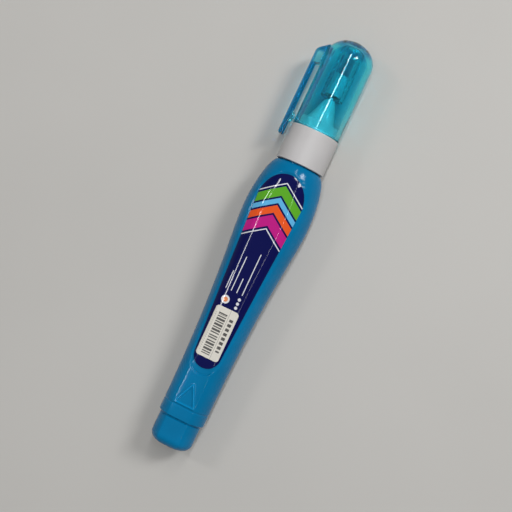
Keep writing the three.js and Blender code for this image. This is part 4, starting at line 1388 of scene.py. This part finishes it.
def room(strength, backdrop):
    """A world with more light overhead, and a pale backdrop that is seen round the horizon."""
    world = bpy.data.worlds.new("room")
    world.use_nodes = True
    tree = world.node_tree

    def maths(operation, *values, clamp=False):
        return add_maths(tree, operation, *values, clamp=clamp)

    direction = add_node(tree, "ShaderNodeTexCoord").outputs["Generated"]
    parts = add_node(tree, "ShaderNodeSeparateXYZ", None, {0: direction})
    height = maths("MAXIMUM", parts.outputs["Z"], 0.0)
    light = maths("MULTIPLY_ADD", height, 0.8 * strength, 0.4 * strength)
    low = maths("MULTIPLY_ADD", height, -2.0, 1.0, clamp=True)
    rays = add_node(tree, "ShaderNodeLightPath").outputs
    seen = maths("MAXIMUM", rays["Is Camera Ray"], rays["Is Glossy Ray"])
    seen = maths("MAXIMUM", seen, rays["Is Transmission Ray"])
    extra = maths("MULTIPLY", seen, maths("SUBTRACT", backdrop, light))
    extra = maths("MULTIPLY", extra, low)
    background = tree.nodes["Background"]
    background.inputs["Color"].default_value = (1.0, 1.0, 1.0, 1.0)
    tree.links.new(maths("ADD", light, extra), background.inputs["Strength"])
    return world


class PEN_OT_stage(bpy.types.Operator):
    """Sets up the desk, the light and the camera"""

    bl_idname = "pen.stage"
    bl_label = "Stage"

    def execute(self, context):
        scene = context.scene
        stage = scene.pen_stage
        mesh = bpy.data.meshes.new("desk")
        signs = ((-1, -1), (1, -1), (1, 1), (-1, 1))
        corners = [(DESK_REACH * x, DESK_REACH * y, DESK_TOP) for x, y in signs]
        mesh.from_pydata(corners, [], [(0, 1, 2, 3)])
        desk = add_object("desk", mesh)
        mesh.materials.append(desk_top())

        scene.world = room(stage.world, stage.backdrop)

        area_lamp("tube", (0.25, -0.045, 0.9), (0.25, 0, 0.005), (1.1, 0.045), stage.tube)
        area_lamp("window", (0.53, -0.48, 0.76), (0, 0, 0.005), (0.19, 0.32), stage.window)
        area_lamp("far", (0.095, 0.6, 0.76), (0, 0, 0.005), (0.06, 0.2), stage.far)

        lens = bpy.data.cameras.new("camera")
        lens.sensor_width = 36.0
        lens.lens = stage.lens
        lens.clip_start = 0.01
        camera = add_object("camera", lens)
        place, target = Vector(stage.camera), Vector(stage.target)
        back = (place - target).normalized()
        along = (Vector((1, 0, 0)) - back * back.x).normalized()
        right = Matrix.Rotation(-stage.roll, 3, back) @ along
        up = back.cross(right)
        turn = Matrix((right, up, back)).transposed()
        camera.matrix_world = Matrix.Translation(place) @ turn.to_4x4()
        scene.camera = camera
        scene.view_settings.view_transform = "Standard"
        return {"FINISHED"}


OPERATORS = (
    PEN_OT_stage,
    PEN_OT_bottle,
    PEN_OT_label,
    PEN_OT_nozzle,
    PEN_OT_valve,
    PEN_OT_cap,
    PEN_OT_clip,
    PEN_OT_contents,
)


class PEN_PT_builder(bpy.types.Panel):
    """Lists the pen's operators"""

    bl_idname = "PEN_PT_builder"
    bl_label = "Correction Pen"
    bl_space_type = "VIEW_3D"
    bl_region_type = "UI"
    bl_category = "Pen"

    def draw(self, context):
        for operator in OPERATORS:
            self.layout.operator(operator.bl_idname)


GROUPS = {"pen_sizes": PenSizes, "pen_colours": PenColours, "pen_stage": PenStage}
CLASSES = (*GROUPS.values(), *OPERATORS, PEN_PT_builder)


def register():
    for item in CLASSES:
        bpy.utils.register_class(item)
    for name, group in GROUPS.items():
        setattr(bpy.types.Scene, name, bpy.props.PointerProperty(type=group))


def unregister():
    for name in GROUPS:
        delattr(bpy.types.Scene, name)
    for item in reversed(CLASSES):
        bpy.utils.unregister_class(item)


def main():
    register()
    bpy.ops.pen.stage()
    bpy.ops.pen.bottle()
    bpy.ops.pen.label()
    bpy.ops.pen.nozzle()
    bpy.ops.pen.valve()
    bpy.ops.pen.cap()
    bpy.ops.pen.clip()
    bpy.ops.pen.contents()


if __name__ == "__main__":
    main()
